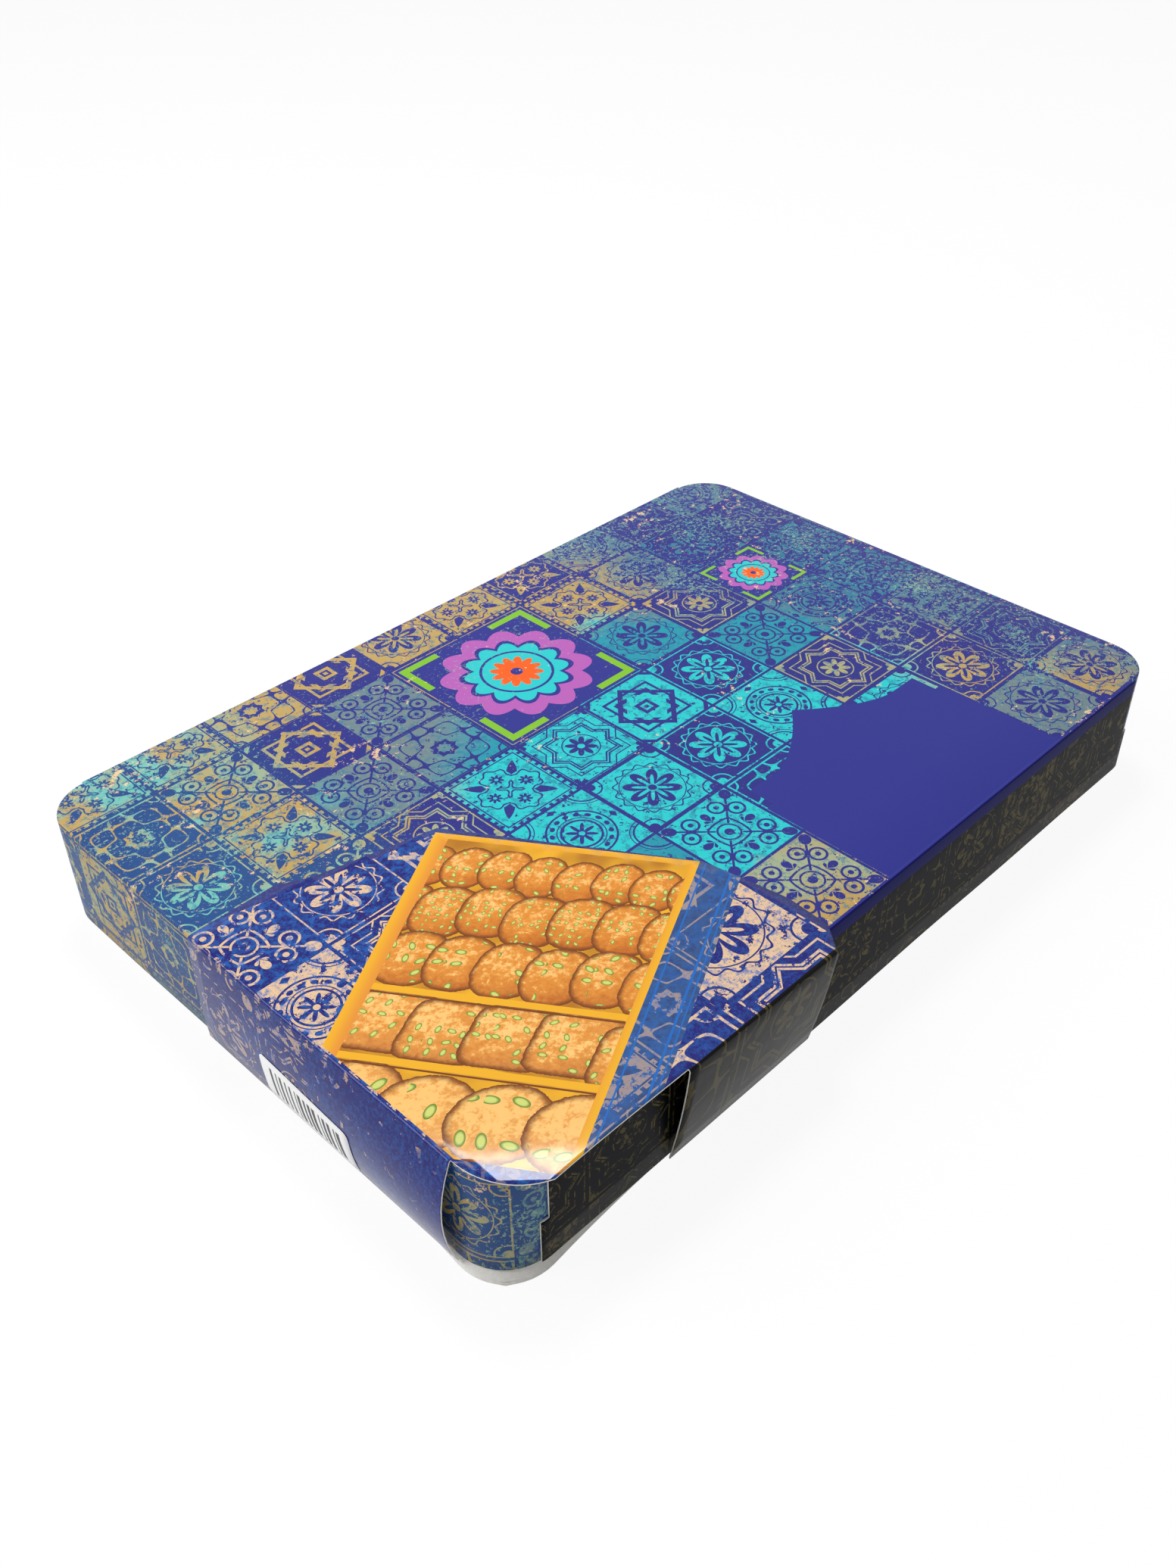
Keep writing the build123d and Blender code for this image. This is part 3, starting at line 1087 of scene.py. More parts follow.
def draw_wrap_print(tree):
    x, y = flat_sheet_place(tree)
    x = x + half_length_mm
    y = y + half_width_mm
    along, across = picture_axes(x, y)
    beside = along - picture_width + right_slant * across
    right_part = above(beside, band_width)
    on_flap = below(x, 0.0)
    pattern, fine = draw_wrap_tiles(x, y, right_part)
    fibres = cloud(point(x, y, 4.0), 0.45, 5.0, 0.75)
    flaking = cloud(point(x, y, 7.0), 0.25, 6.0, 0.72) + 0.1 * on_flap * ramp(y, *near_corner_ramp)
    lost = above(flaking, 0.55 - 0.04 * on_flap + 0.01 * right_part)
    shown = without(pattern, lost)
    specks = place_group(worn_print, point(x, y), wrap_wear)[1]
    ground = paint(
        wrap_navy,
        (ramp(fibres, 0.45, 0.62) * 0.7, bright_blue),
        (most(right_part * 0.6, on_flap * 0.85), wrap_navy),
    )
    tile_ink = paint(
        cream,
        (most(0.15 + on_flap * 0.3, ramp(x + y, *front_lip_ramp) * 0.8), wrap_navy),
        (ramp(fibres, 0.52, 0.6) * 0.7, bright_blue),
    )
    band = between(beside, 0, band_width) * above(across, band_start)
    colour = paint(
        ground,
        (shown, tile_ink),
        (above(past_border(x, y), -border_width), wrap_navy),
        (band, draw_band(beside, without(fine, lost), fibres, flaking)),
        (specks * 0.3, bright_blue),
    )
    colour = draw_picture(x, along, across, colour)
    long_flap = below(y, long_flap_edge)
    # painted shade: the long flap turns near-black brown with dim gold tiles
    return paint(colour, (long_flap, paint(flap_shade_brown, (shown * 0.7, shaded_gold)))), long_flap


print("wear of the wrap's print:", wrap_wear)

# %% [markdown]
# The wrap's card is glossier than the lid's board. Its varnish is nearly left off the long
# flap, for the same reason as on the lid, and a slow bump makes its mirror images waver.

# %% Printed card of the wrap
wrap_constants = {"Coat Roughness": 0.1, "Roughness": 0.3, "Specular IOR Level": 0.04}
wrap_varnish = 0.4
varnish_off_flap = 0.36
wrap_ripple_height = 0.5 * mm

printed_wrap, tree, shader = start_material("printed_wrap_card", wrap_constants)
wrap_colour, long_flap = draw_wrap_print(tree)
feed(wrap_colour, shader.inputs["Base Color"])
feed(wrap_varnish - varnish_off_flap * long_flap, shader.inputs["Coat Weight"])
x, y = flat_sheet_place(tree)
add_bump(tree, shader, cloud(point(x, y), 0.09, 2.0), wrap_ripple_height, 0.35)
print("nodes in the wrap's print:", len(tree.nodes))

# %% [markdown]
# Cut board is never one flat white. The core of every board here is a warm white with
# faint fibres, a little darker where hands and dust have touched it.

# %% White board
board_white = ink(242, 241, 237)
board_shade = ink(229, 226, 218)
fibre_height = 0.05 * mm

white_board, tree, shader = start_material("white_board", {"Roughness": 0.75, "Specular IOR Level": 0.2})
place = point(*object_place(tree))
fibres = cloud(place, 0.9, 5.0, 0.7)
stained = ramp(fibres + cloud(place, 0.03, 2.0), 0.8, 1.3)
feed(paint(board_white, (stained, board_shade)), shader.inputs["Base Color"])
add_bump(tree, shader, fibres, fibre_height)
print("nodes in white board:", len(tree.nodes))

# %% [markdown]
# The label holds only plain bars of uneven width, because its real number and words would
# belong to somebody. The bars stand at an even pitch, and chance sets how wide each one is.

# %% Label paper
label_low, label_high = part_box("barcode_label")
label_white = ink(240, 240, 240)
label_black = ink(26, 26, 30)
bar_pitch = 2.1
bar_seed = 3.0
thinnest_bar = 0.15
bar_growth = 0.6
bar_margin_sides = 3.4
bar_margin_top = 3.2
bar_margin_foot = 2.2

label_paper, tree, shader = start_material("label_paper", {"Roughness": 0.45})
x, y, z = object_place(tree)
from_start = y - label_low.y / mm
label_length = (label_high.y - label_low.y) / mm
bar_width = thinnest_bar + bar_growth * chance(point(whole(from_start / bar_pitch), bar_seed))
bars = below(fraction(from_start / bar_pitch), bar_width)
bars = bars * between(from_start, bar_margin_sides, label_length - bar_margin_sides)
bars = bars * between(z, label_low.z / mm + bar_margin_foot, label_high.z / mm - bar_margin_top)
feed(paint(label_white, (bars, label_black)), shader.inputs["Base Color"])
print("label in mm:", round(label_length, 1), "x", round((label_high.z - label_low.z) / mm, 1))

# %% [markdown]
# Gold card is board with a metallised film on one side. Film shows every ripple of the
# board under it, so its bump is slow and its roughness varies in soft streaks.

# %% Gold card
gold_film = ink(238, 194, 108)
gold_film_dark = ink(208, 154, 66)
film_ripple_height = 0.25 * mm

gold_card, tree, shader = start_material("gold_card", {"Metallic": 0.9})
x, y, z = object_place(tree)
streaks = cloud(point(x * 0.3, y, z), 0.12, 3.0)
feed(paint(gold_film, (streaks, gold_film_dark)), shader.inputs["Base Color"])
feed(0.22 + 0.2 * streaks, shader.inputs["Roughness"])
add_bump(tree, shader, cloud(point(x, y, z), 0.14, 2.0), film_ripple_height, 0.5)
print("nodes in gold card:", len(tree.nodes))

# %% [markdown]
# Greaseproof paper is thin and a little see-through. Its wrinkles are in the sheet's own
# mesh, so the material adds only the cloudy look of the pulp and a soft, waxy gloss.

# %% Greaseproof paper
paper_cream = ink(244, 238, 220)
paper_shade = ink(226, 214, 186)
pulp_height = 0.06 * mm

greaseproof, tree, shader = start_material("greaseproof_paper", {"Roughness": 0.42})
pulp = cloud(point(*object_place(tree)), 0.25, 5.0, 0.65)
feed(paint(paper_cream, (pulp, paper_shade)), shader.inputs["Base Color"])
feed(0.78 + 0.2 * pulp, shader.inputs["Alpha"])
add_bump(tree, shader, pulp, pulp_height)
print("nodes in greaseproof paper:", len(tree.nodes))

# %% [markdown]
# Baked dough is coloured by the oven: pale where it is thick and moist, brown where it is
# thin or stands proud. One node group makes this crust for every sweet. Its second input
# sets how coarse the grain is, and it puts out a mask of browning and a height for the bump.

# %% Baked crust


def draw_crust(place, coarse):
    grain = cloud(place, 0.55, 6.0, 0.75)
    browning = ramp(cloud(place, 0.09, 3.0) * 0.7 + grain * 0.5, 0.45, 0.75)
    return browning, grain + cloud(place, 1.3, 3.0, 0.8) * coarse


baked_crust = make_group("baked_crust", ["Place", "Coarse"], ["Browning", "Height"], draw_crust)

# %% [markdown]
# Each kind of sweet takes its own two colours, grain, gloss and depth of crust. A little
# light goes into the dough and comes out beside where it went in, so the subsurface weight
# isn't 0, and the foot of every sweet is browner than its top.

# %% Finishes of the sweets
low_down = (14.0, 2.0)
glow_depth = 2 * mm


def make_pastry(name, pale, brown, coarse, roughness, crust_height):
    material, tree, shader = start_material(name, {
        "Roughness": roughness, "Subsurface Weight": 0.08, "Subsurface Scale": glow_depth,
    })
    x, y, z = object_place(tree)
    browning, height = place_group(baked_crust, point(x, y, z), coarse)
    browned = most(browning, ramp(z, *low_down) * 0.7)
    feed(paint(ink(*pale), (browned, ink(*brown))), shader.inputs["Base Color"])
    add_bump(tree, shader, height, crust_height * mm)
    return material


sweet_finishes = {
    "pastry_rolls": make_pastry("rolled_pastry", (226, 160, 84), (176, 98, 34), 0.2, 0.4, 0.3),
    "crumble_bars": make_pastry("crumble_pastry", (226, 172, 106), (178, 112, 60), 1.4, 0.6, 0.8),
    "flat_biscuits": make_pastry("golden_biscuit", (232, 180, 96), (196, 124, 44), 0.7, 0.5, 0.4),
    "round_biscuits": make_pastry("brown_biscuit", (224, 164, 84), (172, 102, 40), 1.0, 0.5, 0.5),
    "pistachios": make_pastry("pistachio", (172, 190, 92), (124, 112, 70), 0.8, 0.5, 0.3),
}
print("finishes of sweets:", sorted(sweet_finishes))

# %% [markdown]
# The carton's pieces are folded from flat board, so most shapes here start as a thin
# surface and get their thickness last. The lid, its side panels and the base all start as
# an open box with rounded upright edges: a cube is bevelled twice, first along its upright
# edges and then along the crease of its top.

# %% Open boxes
corner_steps = 12
crease_steps = 3
flat_enough = 0.9


def bevel_edges(bm, edges, offset, segments):
    """Round edges off by an offset."""
    bmesh.ops.bevel(
        bm, geom=edges, offset=offset, offset_type="OFFSET", affect="EDGES",
        segments=segments, profile=0.5, material=-1,
    )


def open_box(low, high, radius, crease):
    """A box with rounded upright edges, a creased top and no bottom."""
    bm = bmesh.new()
    bmesh.ops.create_cube(bm, size=1)
    bmesh.ops.scale(bm, vec=high - low, verts=bm.verts)
    bmesh.ops.translate(bm, vec=(low + high) / 2, verts=bm.verts)
    uprights = [edge for edge in bm.edges if edge.verts[0].co.xy == edge.verts[1].co.xy]
    bevel_edges(bm, uprights, radius, corner_steps)
    middle = (low.z + high.z) / 2
    bottom = [face for face in bm.faces
              if abs(face.normal.z) > flat_enough and face.calc_center_median().z < middle]
    bmesh.ops.delete(bm, geom=bottom, context="FACES_ONLY")
    rim = [edge for edge in bm.edges if min(vert.co.z for vert in edge.verts) > middle]
    bevel_edges(bm, rim, crease, crease_steps)
    return bm


print("steps round a corner and over a crease:", corner_steps, crease_steps)

# %% [markdown]
# Board bends only where it has edges, so every surface is cut into strips. The label and
# the paper start as a flat sheet with rounded corners, cut in both directions.

# %% Strips and sheets
merge_distance = 1e-7


def cut_across(bm, axis, places):
    """Cut the whole mesh by planes square to one axis."""
    normal = Vector((0, 0, 0))
    normal[axis] = 1
    for place in places:
        everything = bm.verts[:] + bm.edges[:] + bm.faces[:]
        bmesh.ops.bisect_plane(
            bm, geom=everything, dist=merge_distance, plane_co=normal * place, plane_no=normal,
        )


def steps(start, end, pitch):
    """Evenly spaced places between two ends, about one pitch apart."""
    count = max(2, round((end - start) / pitch))
    return [start + (end - start) * step / count for step in range(1, count)]


def rounded_sheet(low, high, height, radius, corner_parts, pitch):
    """A flat sheet between two corners, with rounded corners and cells that can bend."""
    bm = bmesh.new()
    bmesh.ops.create_grid(bm, x_segments=1, y_segments=1, size=0.5)
    bmesh.ops.scale(bm, vec=(*(high - low), 1), verts=bm.verts)
    bmesh.ops.bevel(
        bm, geom=bm.verts[:], offset=radius, offset_type="OFFSET", affect="VERTICES",
        segments=corner_parts, profile=0.5, material=-1,
    )
    bmesh.ops.translate(bm, vec=(*(low + high) / 2, height), verts=bm.verts)
    for axis in (0, 1):
        cut_across(bm, axis, steps(low[axis], high[axis], pitch))
    return bm


def face_outwards(bm, direction):
    """Turn the faces of an open sheet alike, so that most of them look along a direction."""
    bmesh.ops.recalc_face_normals(bm, faces=bm.faces)
    if sum(face.normal.dot(direction) for face in bm.faces) < 0:
        bmesh.ops.reverse_faces(bm, faces=bm.faces)


print("a sheet of 10 mm in strips of 4 mm is cut at", steps(0, 10, 4))

# %% [markdown]
# A finished surface becomes a piece: it rides on a body, and where it stands for a node of
# the solid model it hides that node. Its thickness comes from a Solidify modifier, which can
# give the cut edge and the inside their own material. That is how white board printed on one
# side looks: colour outside, and a white line wherever it was cut.

# %% Pieces and their thickness


def make_piece(bm, name, materials, body, node, smooth_angle=40):
    """Turn a bmesh into a piece that may stand for a node of the solid model."""
    mesh = bpy.data.meshes.new(name)
    bmesh.ops.remove_doubles(bm, verts=bm.verts, dist=merge_distance)
    bm.to_mesh(mesh)
    bm.free()
    for material in materials:
        mesh.materials.append(material)
    mesh.shade_smooth()
    mesh.set_sharp_from_angle(angle=radians(smooth_angle))
    piece = add_object(name, mesh)
    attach(piece, body)
    if node:
        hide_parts(node)
    print(name, "faces:", len(mesh.polygons))
    return piece


def thicken(piece, thickness):
    """Give a surface the thickness of its board, inwards, with a white inside and cut edge."""
    solidify = piece.modifiers.new("board", "SOLIDIFY")
    solidify.thickness = thickness
    solidify.offset = -1
    solidify.use_even_offset = True
    solidify.material_offset = 1
    solidify.material_offset_rim = 1


print("board in mm:", board / mm, "card in mm:", card / mm)

# %% [markdown]
# The print runs over the folds as it did on the flat sheet, so every printed piece has a
# UV map called flat_sheet. It holds the place in metres where a point lay before folding.
# A point on a long wall is unfolded outwards by its depth below the top. Each short wall
# goes on round both corners, so its points are unfolded to the end, and a point on a corner
# is laid out by the length of the arc up to it.

# %% Unfolding the walls
straight_x = half_length - lid_radius
straight_y = half_width - lid_radius


def wall_direction(x, y):
    """Which way the wall of the rounded box faces at the place nearest to x, y."""
    past_x = max(abs(x) - straight_x, 0)
    past_y = max(abs(y) - straight_y, 0)
    span = hypot(past_x, past_y)
    if span == 0:
        return 0, 0
    return past_x / span * (1 if x > 0 else -1), past_y / span * (1 if y > 0 else -1)


def unfold(bm, top, round_corners=True):
    """Write the flat_sheet map of a folded piece from the places of its corners."""
    layer = bm.loops.layers.uv.new("flat_sheet")
    for face in bm.faces:
        middle = face.calc_center_median()
        on_wall = middle.z < top - crease_radius
        on_corner = on_wall and round_corners and abs(middle.x) > straight_x
        for loop in face.loops:
            x, y, z = loop.vert.co
            depth = top - z
            out_x, out_y = wall_direction(x, y)
            if on_corner:
                arc = lid_radius * atan2(abs(out_y), abs(out_x)) if out_y else 0
                side = 1 if y > 0 else -1
                along = y if abs(y) < straight_y else side * (straight_y + arc)
                loop[layer].uv = ((half_length + depth) * (1 if x > 0 else -1), along)
            else:
                loop[layer].uv = (x + out_x * depth, y + out_y * depth)


print("straight part of the walls in mm:", round(2 * straight_x / mm), round(2 * straight_y / mm))

# %% [markdown]
# A carton's corner sags a little where nobody has pressed it square, here at the corner
# under the wrap. One function gives the sag at any place, and both the lid and the wrap use
# it, so that the card goes on lying on the board.

# %% Sag of the wrapped corner
sag_reach = 24 * mm
sag_depth = 1.2 * mm
sag_start = 3 * mm


def sag_corner(bm, top, band):
    """Lower the top near the wrapped corner, and less the further down a wall goes."""
    for vert in bm.verts:
        from_tip = (vert.co.x + half_length + vert.co.y + half_width) / sqrt(2)
        share = min(1, max(0, (sag_reach - from_tip) / (sag_reach - sag_start)))
        top_share = max(0, 1 - (top - vert.co.z) / band)
        vert.co.z -= sag_depth * share * share * top_share


print("the corner sags by", sag_depth / mm, "mm")

# %% [markdown]
# The lid is one board: a top panel with walls folded down, the short walls going on round
# the corners. A real carton's walls are never quite flat, so the shell is cut into strips
# and pushed in and out by a fraction of a millimetre of smooth noise. On glossy board that
# is enough to bend the reflections.

# %% Lid shell
strip_pitch = 7.5 * mm
wall_waviness = 0.3 * mm
wave_length = 55 * mm
wave_inwards = 0.3
lid_sag_band = 12 * mm
lap_room = 0.35 * mm


def soften_walls(bm):
    """Push the walls in and out a little, least of all at their fold."""
    for vert in bm.verts:
        out_x, out_y = wall_direction(vert.co.x, vert.co.y)
        depth_share = (lid_top - vert.co.z) / (lid_top - lid_rim)
        push = wall_waviness * depth_share * (noise.noise(vert.co / wave_length) - wave_inwards)
        vert.co += Vector((out_x, out_y, 0)) * push
    sag_corner(bm, lid_top, lid_sag_band)


long_wall_inset = Vector((0, lap_room, 0))
bm = open_box(lid_low + long_wall_inset, lid_high - long_wall_inset, lid_radius, crease_radius)
cut_across(bm, 0, steps(-straight_x, straight_x, strip_pitch))
cut_across(bm, 1, steps(-straight_y, straight_y, strip_pitch))
cut_across(bm, 2, steps(lid_rim, lid_top - crease_radius, strip_pitch))
unfold(bm, lid_top)
soften_walls(bm)
lid_shell = make_piece(
    bm, "lid_shell", [printed_lid, white_board], "lid", "lid",
)
thicken(lid_shell, board)

# %% [markdown]
# Each long wall is glued over the ends of the short walls. Its cut end has a half-lap step
# and shows the white core of the board. The panel is made like the shell, as a slightly
# wider box of which only the wall and its crease are kept, and its upper edge is tucked
# into the top so that no gap shows along the fold.

# %% Long side panels lapped over the corners
lap_proud = Vector((0, 0.3 * mm, 0))
lap_thickness = 0.65 * mm
seam_place = straight_x + 3 * mm
seam_step = 2.6 * mm
seam_split_share = 0.42
seam_split = lid_rim + seam_split_share * (lid_top - lid_rim)
upper_seam_place = seam_place - seam_step
tuck_reach = 1.6 * mm
tuck_depth = 0.06 * mm
quite_flat = 0.99
hair = 1e-6


def outside_panel(face, side):
    """Whether a face of the box isn't part of the long wall on one side or its crease."""
    middle = face.calc_center_median()
    seam = seam_place if middle.z < seam_split else upper_seam_place
    return abs(middle.x) > seam or side * middle.y < straight_y or face.normal.z > quite_flat


def tuck_in(bm, side):
    """Grow the panel's upper edge a little way into the top of the lid."""
    upper = [edge for edge in bm.edges
             if edge.is_boundary and min(vert.co.z for vert in edge.verts) > lid_top - hair]
    grown = bmesh.ops.extrude_edge_only(bm, edges=upper)["geom"]
    tucked = [item for item in grown if isinstance(item, bmesh.types.BMVert)]
    bmesh.ops.translate(bm, verts=tucked, vec=(0, -side * tuck_reach, -tuck_depth))


for side, name in ((-1, "lid_side_panel_front"), (1, "lid_side_panel_back")):
    bm = open_box(lid_low - lap_proud, lid_high + lap_proud, lid_radius, crease_radius)
    cut_across(bm, 0, [-seam_place, -upper_seam_place, upper_seam_place, seam_place])
    cut_across(bm, 0, steps(-straight_x, straight_x, strip_pitch))
    cut_across(bm, 2, [seam_split] + steps(lid_rim, lid_top - crease_radius, strip_pitch))
    unwanted = [face for face in bm.faces if outside_panel(face, side)]
    bmesh.ops.delete(bm, geom=unwanted, context="FACES")
    tuck_in(bm, side)
    unfold(bm, lid_top, round_corners=False)
    soften_walls(bm)
    panel = make_piece(bm, name, [printed_lid, white_board], "lid", None)
    thicken(panel, lap_thickness)

# %% [markdown]
# The base is the same kind of box, made upside down and turned over. Its walls spread a
# little below the lid's rim, most of all at the corner under the wrap, where one thin
# upright crease shows.

# %% Base tray
flare = 4.4 * mm
flare_height = lid_rim - 0.2 * mm
flare_reach = 70 * mm
flare_cuts = (1, 0.75, 0.5, 0.25)
base_radius = 14 * mm
crease_reach = 2.7 * mm
crease_depth = 0.35 * mm
near_corner = Vector((-half_length, -half_width))


def spread_foot(vert):
    """How far the foot of the wall stands out at a vertex."""
    low_share = max(0, 1 - vert.co.z / flare_height)
    near_share = max(0, 1 - (vert.co.xy - near_corner).length / flare_reach)
    from_crease = abs(vert.co.x - vert.co.y - near_corner.x + near_corner.y)
    crease_share = max(0, 1 - from_crease / crease_reach)
    return low_share * (flare * near_share * near_share + crease_depth * crease_share)


turned_low = Vector((base_low.x, base_low.y, -base_high.z))
turned_high = Vector((base_high.x, base_high.y, -base_low.z))
bm = open_box(turned_low, turned_high, base_radius, crease_radius)
cut_across(bm, 0, steps(-straight_x, straight_x, strip_pitch))
cut_across(bm, 1, steps(-straight_y, straight_y, strip_pitch))
cut_across(bm, 2, [-flare_height * share for share in flare_cuts])
bmesh.ops.rotate(bm, verts=bm.verts, cent=(0, 0, 0), matrix=Matrix.Rotation(pi, 3, "X"))
for vert in bm.verts:
    vert.co += Vector((*wall_direction(vert.co.x, vert.co.y), 0)) * spread_foot(vert)
base_shell = make_piece(
    bm, "base_shell", [white_board, white_board], "base", "base_tray",
)
thicken(base_shell, board)

# %% [markdown]
# The corner wrap is die-cut from thin glossy card and folded over two edges of the lid. It
# is modelled the way it is made: the outline of the top panel is filled, and each flap is
# extruded downwards from its fold, row by row, first round the fold and then along a bowed
# profile. The places on its outline are measured in millimetres from the lid's corner.

# %% Outline of the corner wrap
wrap_low, wrap_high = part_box("corner_wrap")
wrap_top = wrap_high.z
wrap_hem = wrap_low.z
wrap_card = 0.4 * mm
outer_fold = 0.9 * mm
fold_radius = 0.8 * mm
short_flap_start = 15.4 * mm
short_flap_end = 119.5 * mm
long_flap_start = 56.8 * mm
long_flap_end = 114 * mm
long_fold_near_gap = 6.3 * mm
long_fold_far_gap = 7.1 * mm
free_edge_end = Vector((13.0, -4.8)) * mm
die_cut_outline = [
    (27.4, 119.5),
    (37.0, 114.8),
    (74.5, 106.2),
    (116.2, 42.0),
    (117.5, 36.0),
    (121.0, 15.0),
    (120.0, 1.0),
]
curve_steps = 14


def from_corner(x, y):
    """A point measured from the lid's wrapped corner, as a place on the lid."""
    return Vector((x - half_length, y - half_width, wrap_top))


# The panel ends one fold radius inside each fold, and the flaps go on from there
short_fold = fold_radius - outer_fold
long_fold_start = from_corner(long_flap_start, fold_radius - long_fold_near_gap)
long_fold_end = from_corner(long_flap_end, fold_radius - long_fold_far_gap)
outline = [from_corner(*(Vector(place) * mm)) for place in die_cut_outline]
outline += [long_fold_end, long_fold_start]
print("places on the straight part of the outline:", len(outline))

# %% [markdown]
# The wrap's front edge is cut in one curve: an arc that leaves the short fold square to it
# and ends at the free corner. Those two conditions give its radius and how far it turns.

# %% Curved front edge of the wrap
curve_start = Vector((short_fold, short_flap_start))
reach = free_edge_end - curve_start
curve_radius = reach.length_squared / (2 * reach.x)
curve_turn = pi - atan2(-reach.y, reach.x - curve_radius)
curve_centre = from_corner(curve_start.x + curve_radius, curve_start.y)
for step in range(curve_steps + 1):
    angle = pi + curve_turn * (1 - step / curve_steps)
    outline.append(curve_centre + Vector((cos(angle), sin(angle), 0)) * curve_radius)
outline.append(from_corner(short_fold, short_flap_end))
print("radius of the curved front edge in mm:", round(curve_radius / mm, 1))

# %% [markdown]
# A flap is a stack of rows. The first few go round the fold in a quarter turn, and the rest
# go down to the hem, bowed outwards in the middle. The short flap bows most near the
# corner, where nothing holds it, and the long flap stands off the lid all along.

# %% Profiles of the flaps
flap_rows = 8
fold_rows = 4
foot_gap = 0.4 * mm
foot_out = foot_gap + card
short_near_bulge = 3.8 * mm
short_far_bulge = 0.5 * mm
long_bulge = 0.6 * mm


def flap_point(row, fold, bulge):
    """How far out from the lid, and how far down, a flap's surface is at one of its rows."""
    if row <= fold_rows:
        turn = pi / 2 * row / fold_rows
        return fold - fold_radius + fold_radius * sin(turn), fold_radius * (1 - cos(turn))
    share = (row - fold_rows) / flap_rows
    out = fold + (foot_out - fold) * share + 4 * bulge * share * (1 - share)
    down = fold_radius + (wrap_top - wrap_hem - fold_radius) * share
    return out, down


def short_flap_point(y, row, lift=0.0):
    """A place on the short flap, at one row below its fold."""
    share = (y + half_width - short_flap_start) / (short_flap_end - short_flap_start)
    bulge = short_near_bulge + (short_far_bulge - short_near_bulge) * share
    out, down = flap_point(row, outer_fold, bulge)
    return Vector((-half_length - out - lift, y, wrap_top - down))


def long_flap_point(x, row):
    """A place on the long flap, at one row below its fold."""
    share = (x + half_length - long_flap_start) / (long_flap_end - long_flap_start)
    fold = long_fold_near_gap + (long_fold_far_gap - long_fold_near_gap) * share
    out, down = flap_point(row, fold, long_bulge)
    return Vector((x, -half_width - out, wrap_top - down))


print("the short flap bows by", short_near_bulge / mm, "mm near the corner")

# %% [markdown]
# The edges that lie on the two folds are found by their place, and a flap grows from its
# own edges, one row after another.

# %% Growing a flap from its fold
share_slack = 1e-4


def on_short_fold(vert):
    """Whether a vertex lies on the fold along the short wall."""
    return abs(vert.co.x - (short_fold - half_length)) < hair


def on_long_fold(vert):
    """Whether a vertex lies on the fold along the long wall, which isn't quite parallel to it."""
    along = long_fold_end - long_fold_start
    share = (vert.co.x - long_fold_start.x) / along.x
    beside = abs(long_fold_start.y + along.y * share - vert.co.y)
    return -share_slack < share < 1 + share_slack and beside < hair


def extrude_flap(bm, fold_edges, place_row):
    """Grow a flap from its fold: each row is extruded, then put on the flap's profile."""
    edges = fold_edges
    for row in range(1, fold_rows + flap_rows + 1):
        grown = bmesh.ops.extrude_edge_only(bm, edges=edges)["geom"]
        new_verts = {item for item in grown if isinstance(item, bmesh.types.BMVert)}
        edges = [item for item in grown if isinstance(item, bmesh.types.BMEdge)
                 and item.verts[0] in new_verts and item.verts[1] in new_verts]
        for vert in new_verts:
            vert.co = place_row(vert, row)


print("a flap grows in", fold_rows + flap_rows, "rows")

# %% [markdown]
# The panel is one filled face, cut into strips both ways, and both flaps grow from it. The
# unfolded places are written before the corner sags, because print doesn't stretch with it.

# %% Corner wrap
wrap_pitch = 4 * mm
cut_width = 121 * mm
cut_depth = 119 * mm
cut_past_edge = 8 * mm
wrap_sag_band = 25 * mm

bm = bmesh.new()
top_panel = bm.faces.new([bm.verts.new(place) for place in outline])
top_panel.normal_update()
if top_panel.normal.z < 0:
    top_panel.normal_flip()
cut_across(bm, 0, steps(-half_length, cut_width - half_length, wrap_pitch))
cut_across(bm, 1, steps(-half_width - cut_past_edge, cut_depth - half_width, wrap_pitch))
boundary = [edge for edge in bm.edges if edge.is_boundary]
short_fold_edges = [edge for edge in boundary if all(map(on_short_fold, edge.verts))]
long_fold_edges = [edge for edge in boundary if all(map(on_long_fold, edge.verts))]
print("edges along the two folds:", len(short_fold_edges), len(long_fold_edges))
extrude_flap(bm, short_fold_edges, lambda vert, row: short_flap_point(vert.co.y, row))
extrude_flap(bm, long_fold_edges, lambda vert, row: long_flap_point(vert.co.x, row))
unfold(bm, wrap_top)
face_outwards(bm, Vector((0, 0, 1)))
sag_corner(bm, wrap_top, wrap_sag_band)
wrap_piece = make_piece(
    bm, "corner_wrap_card", [printed_wrap, white_board], "wrap", "corner_wrap",
)
thicken(wrap_piece, wrap_card)

# %% [markdown]
# The label is a film stuck on the short flap. It is a flat rounded rectangle, cut into
# strips and laid on the same bowed profile as the flap, a hair's breadth outside it.

# %% Label
label_lift = 0.08 * mm
label_film = 0.08 * mm
label_corner = 2 * mm
label_corner_steps = 4
label_pitch = 3 * mm
flap_height = wrap_top - wrap_hem - fold_radius

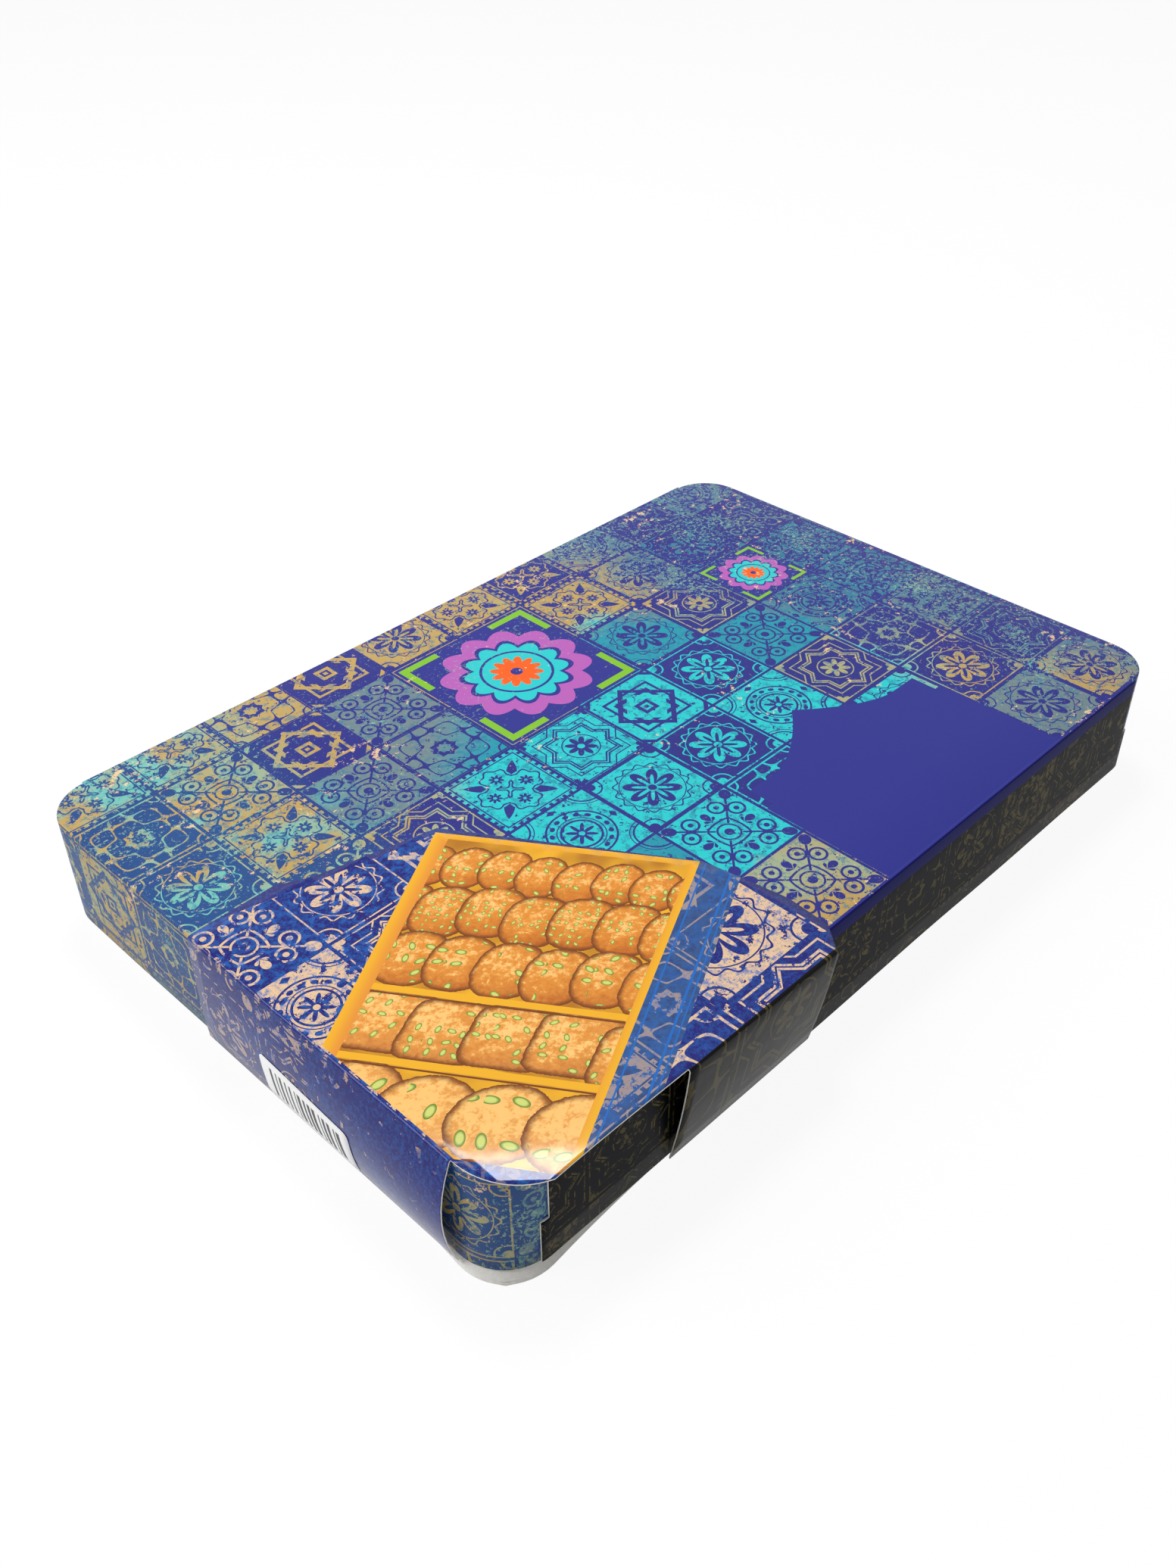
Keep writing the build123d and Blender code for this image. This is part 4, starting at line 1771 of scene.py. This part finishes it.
bm = rounded_sheet(label_low.yz, label_high.yz, 0, label_corner, label_corner_steps, label_pitch)
for vert in bm.verts:
    y, z = vert.co.xy
    row = fold_rows + flap_rows * (wrap_top - fold_radius - z) / flap_height
    vert.co = short_flap_point(y, row, label_lift + label_film)
face_outwards(bm, Vector((-1, 0, 0)))
label_piece = make_piece(
    bm, "label_film", [label_paper, white_board], "wrap", "barcode_label",
)
thicken(label_piece, label_film)

# %% [markdown]
# The sheet of greaseproof paper is laid on the liner's rim and sags a little over the
# sweets, with the soft wrinkles of paper that was once folded. A grid of a few thousand
# points is moved by smooth noise: a cloth simulation would give the same lazy shape and
# take far longer for something so thin and light.

# %% Cover sheet
sheet_low, sheet_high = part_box("cover_sheet")
sheet_sag = 1.6 * mm
sheet_radius = 12 * mm
sheet_corner_steps = 8
sheet_pitch = 4 * mm
paper_thickness = 0.06 * mm
flat_margin = 5 * mm
sag_width = 30 * mm
wrinkle_height = 0.5 * mm
wrinkle_length = 26 * mm
fine_wrinkle_length = 9 * mm
fine_wrinkle_share = 0.4

bm = rounded_sheet(
    sheet_low.xy, sheet_high.xy, sheet_high.z, sheet_radius, sheet_corner_steps, sheet_pitch,
)
for vert in bm.verts:
    inset = min(sheet_high.x - abs(vert.co.x), sheet_high.y - abs(vert.co.y))
    inner_share = min(1, max(0, inset - flat_margin) / sag_width)
    broad = noise.noise(vert.co / wrinkle_length)
    fine = noise.noise(vert.co / fine_wrinkle_length)
    vert.co.z += inner_share * (wrinkle_height * (broad + fine_wrinkle_share * fine) - sheet_sag)
paper_piece = make_piece(
    bm, "cover_paper", [greaseproof], "base", "cover_sheet", smooth_angle=60,
)
sheet_card = paper_piece.modifiers.new("paper", "SOLIDIFY")
sheet_card.thickness = paper_thickness
sheet_card.offset = -1

# %% [markdown]
# The liner, its dividers and the sweets keep the shapes of the solid model, because those
# shapes are already right. They only need their finishes.

# %% Finishes of the pieces kept from the solid model
kept_finishes = {"divider": gold_card, "liner_tray": gold_card, **sweet_finishes}
for name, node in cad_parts.items():
    for part, finish in kept_finishes.items():
        if part in name:
            for material_slot in node.material_slots:
                material_slot.material = finish
            print(name, "is finished with", finish.name)
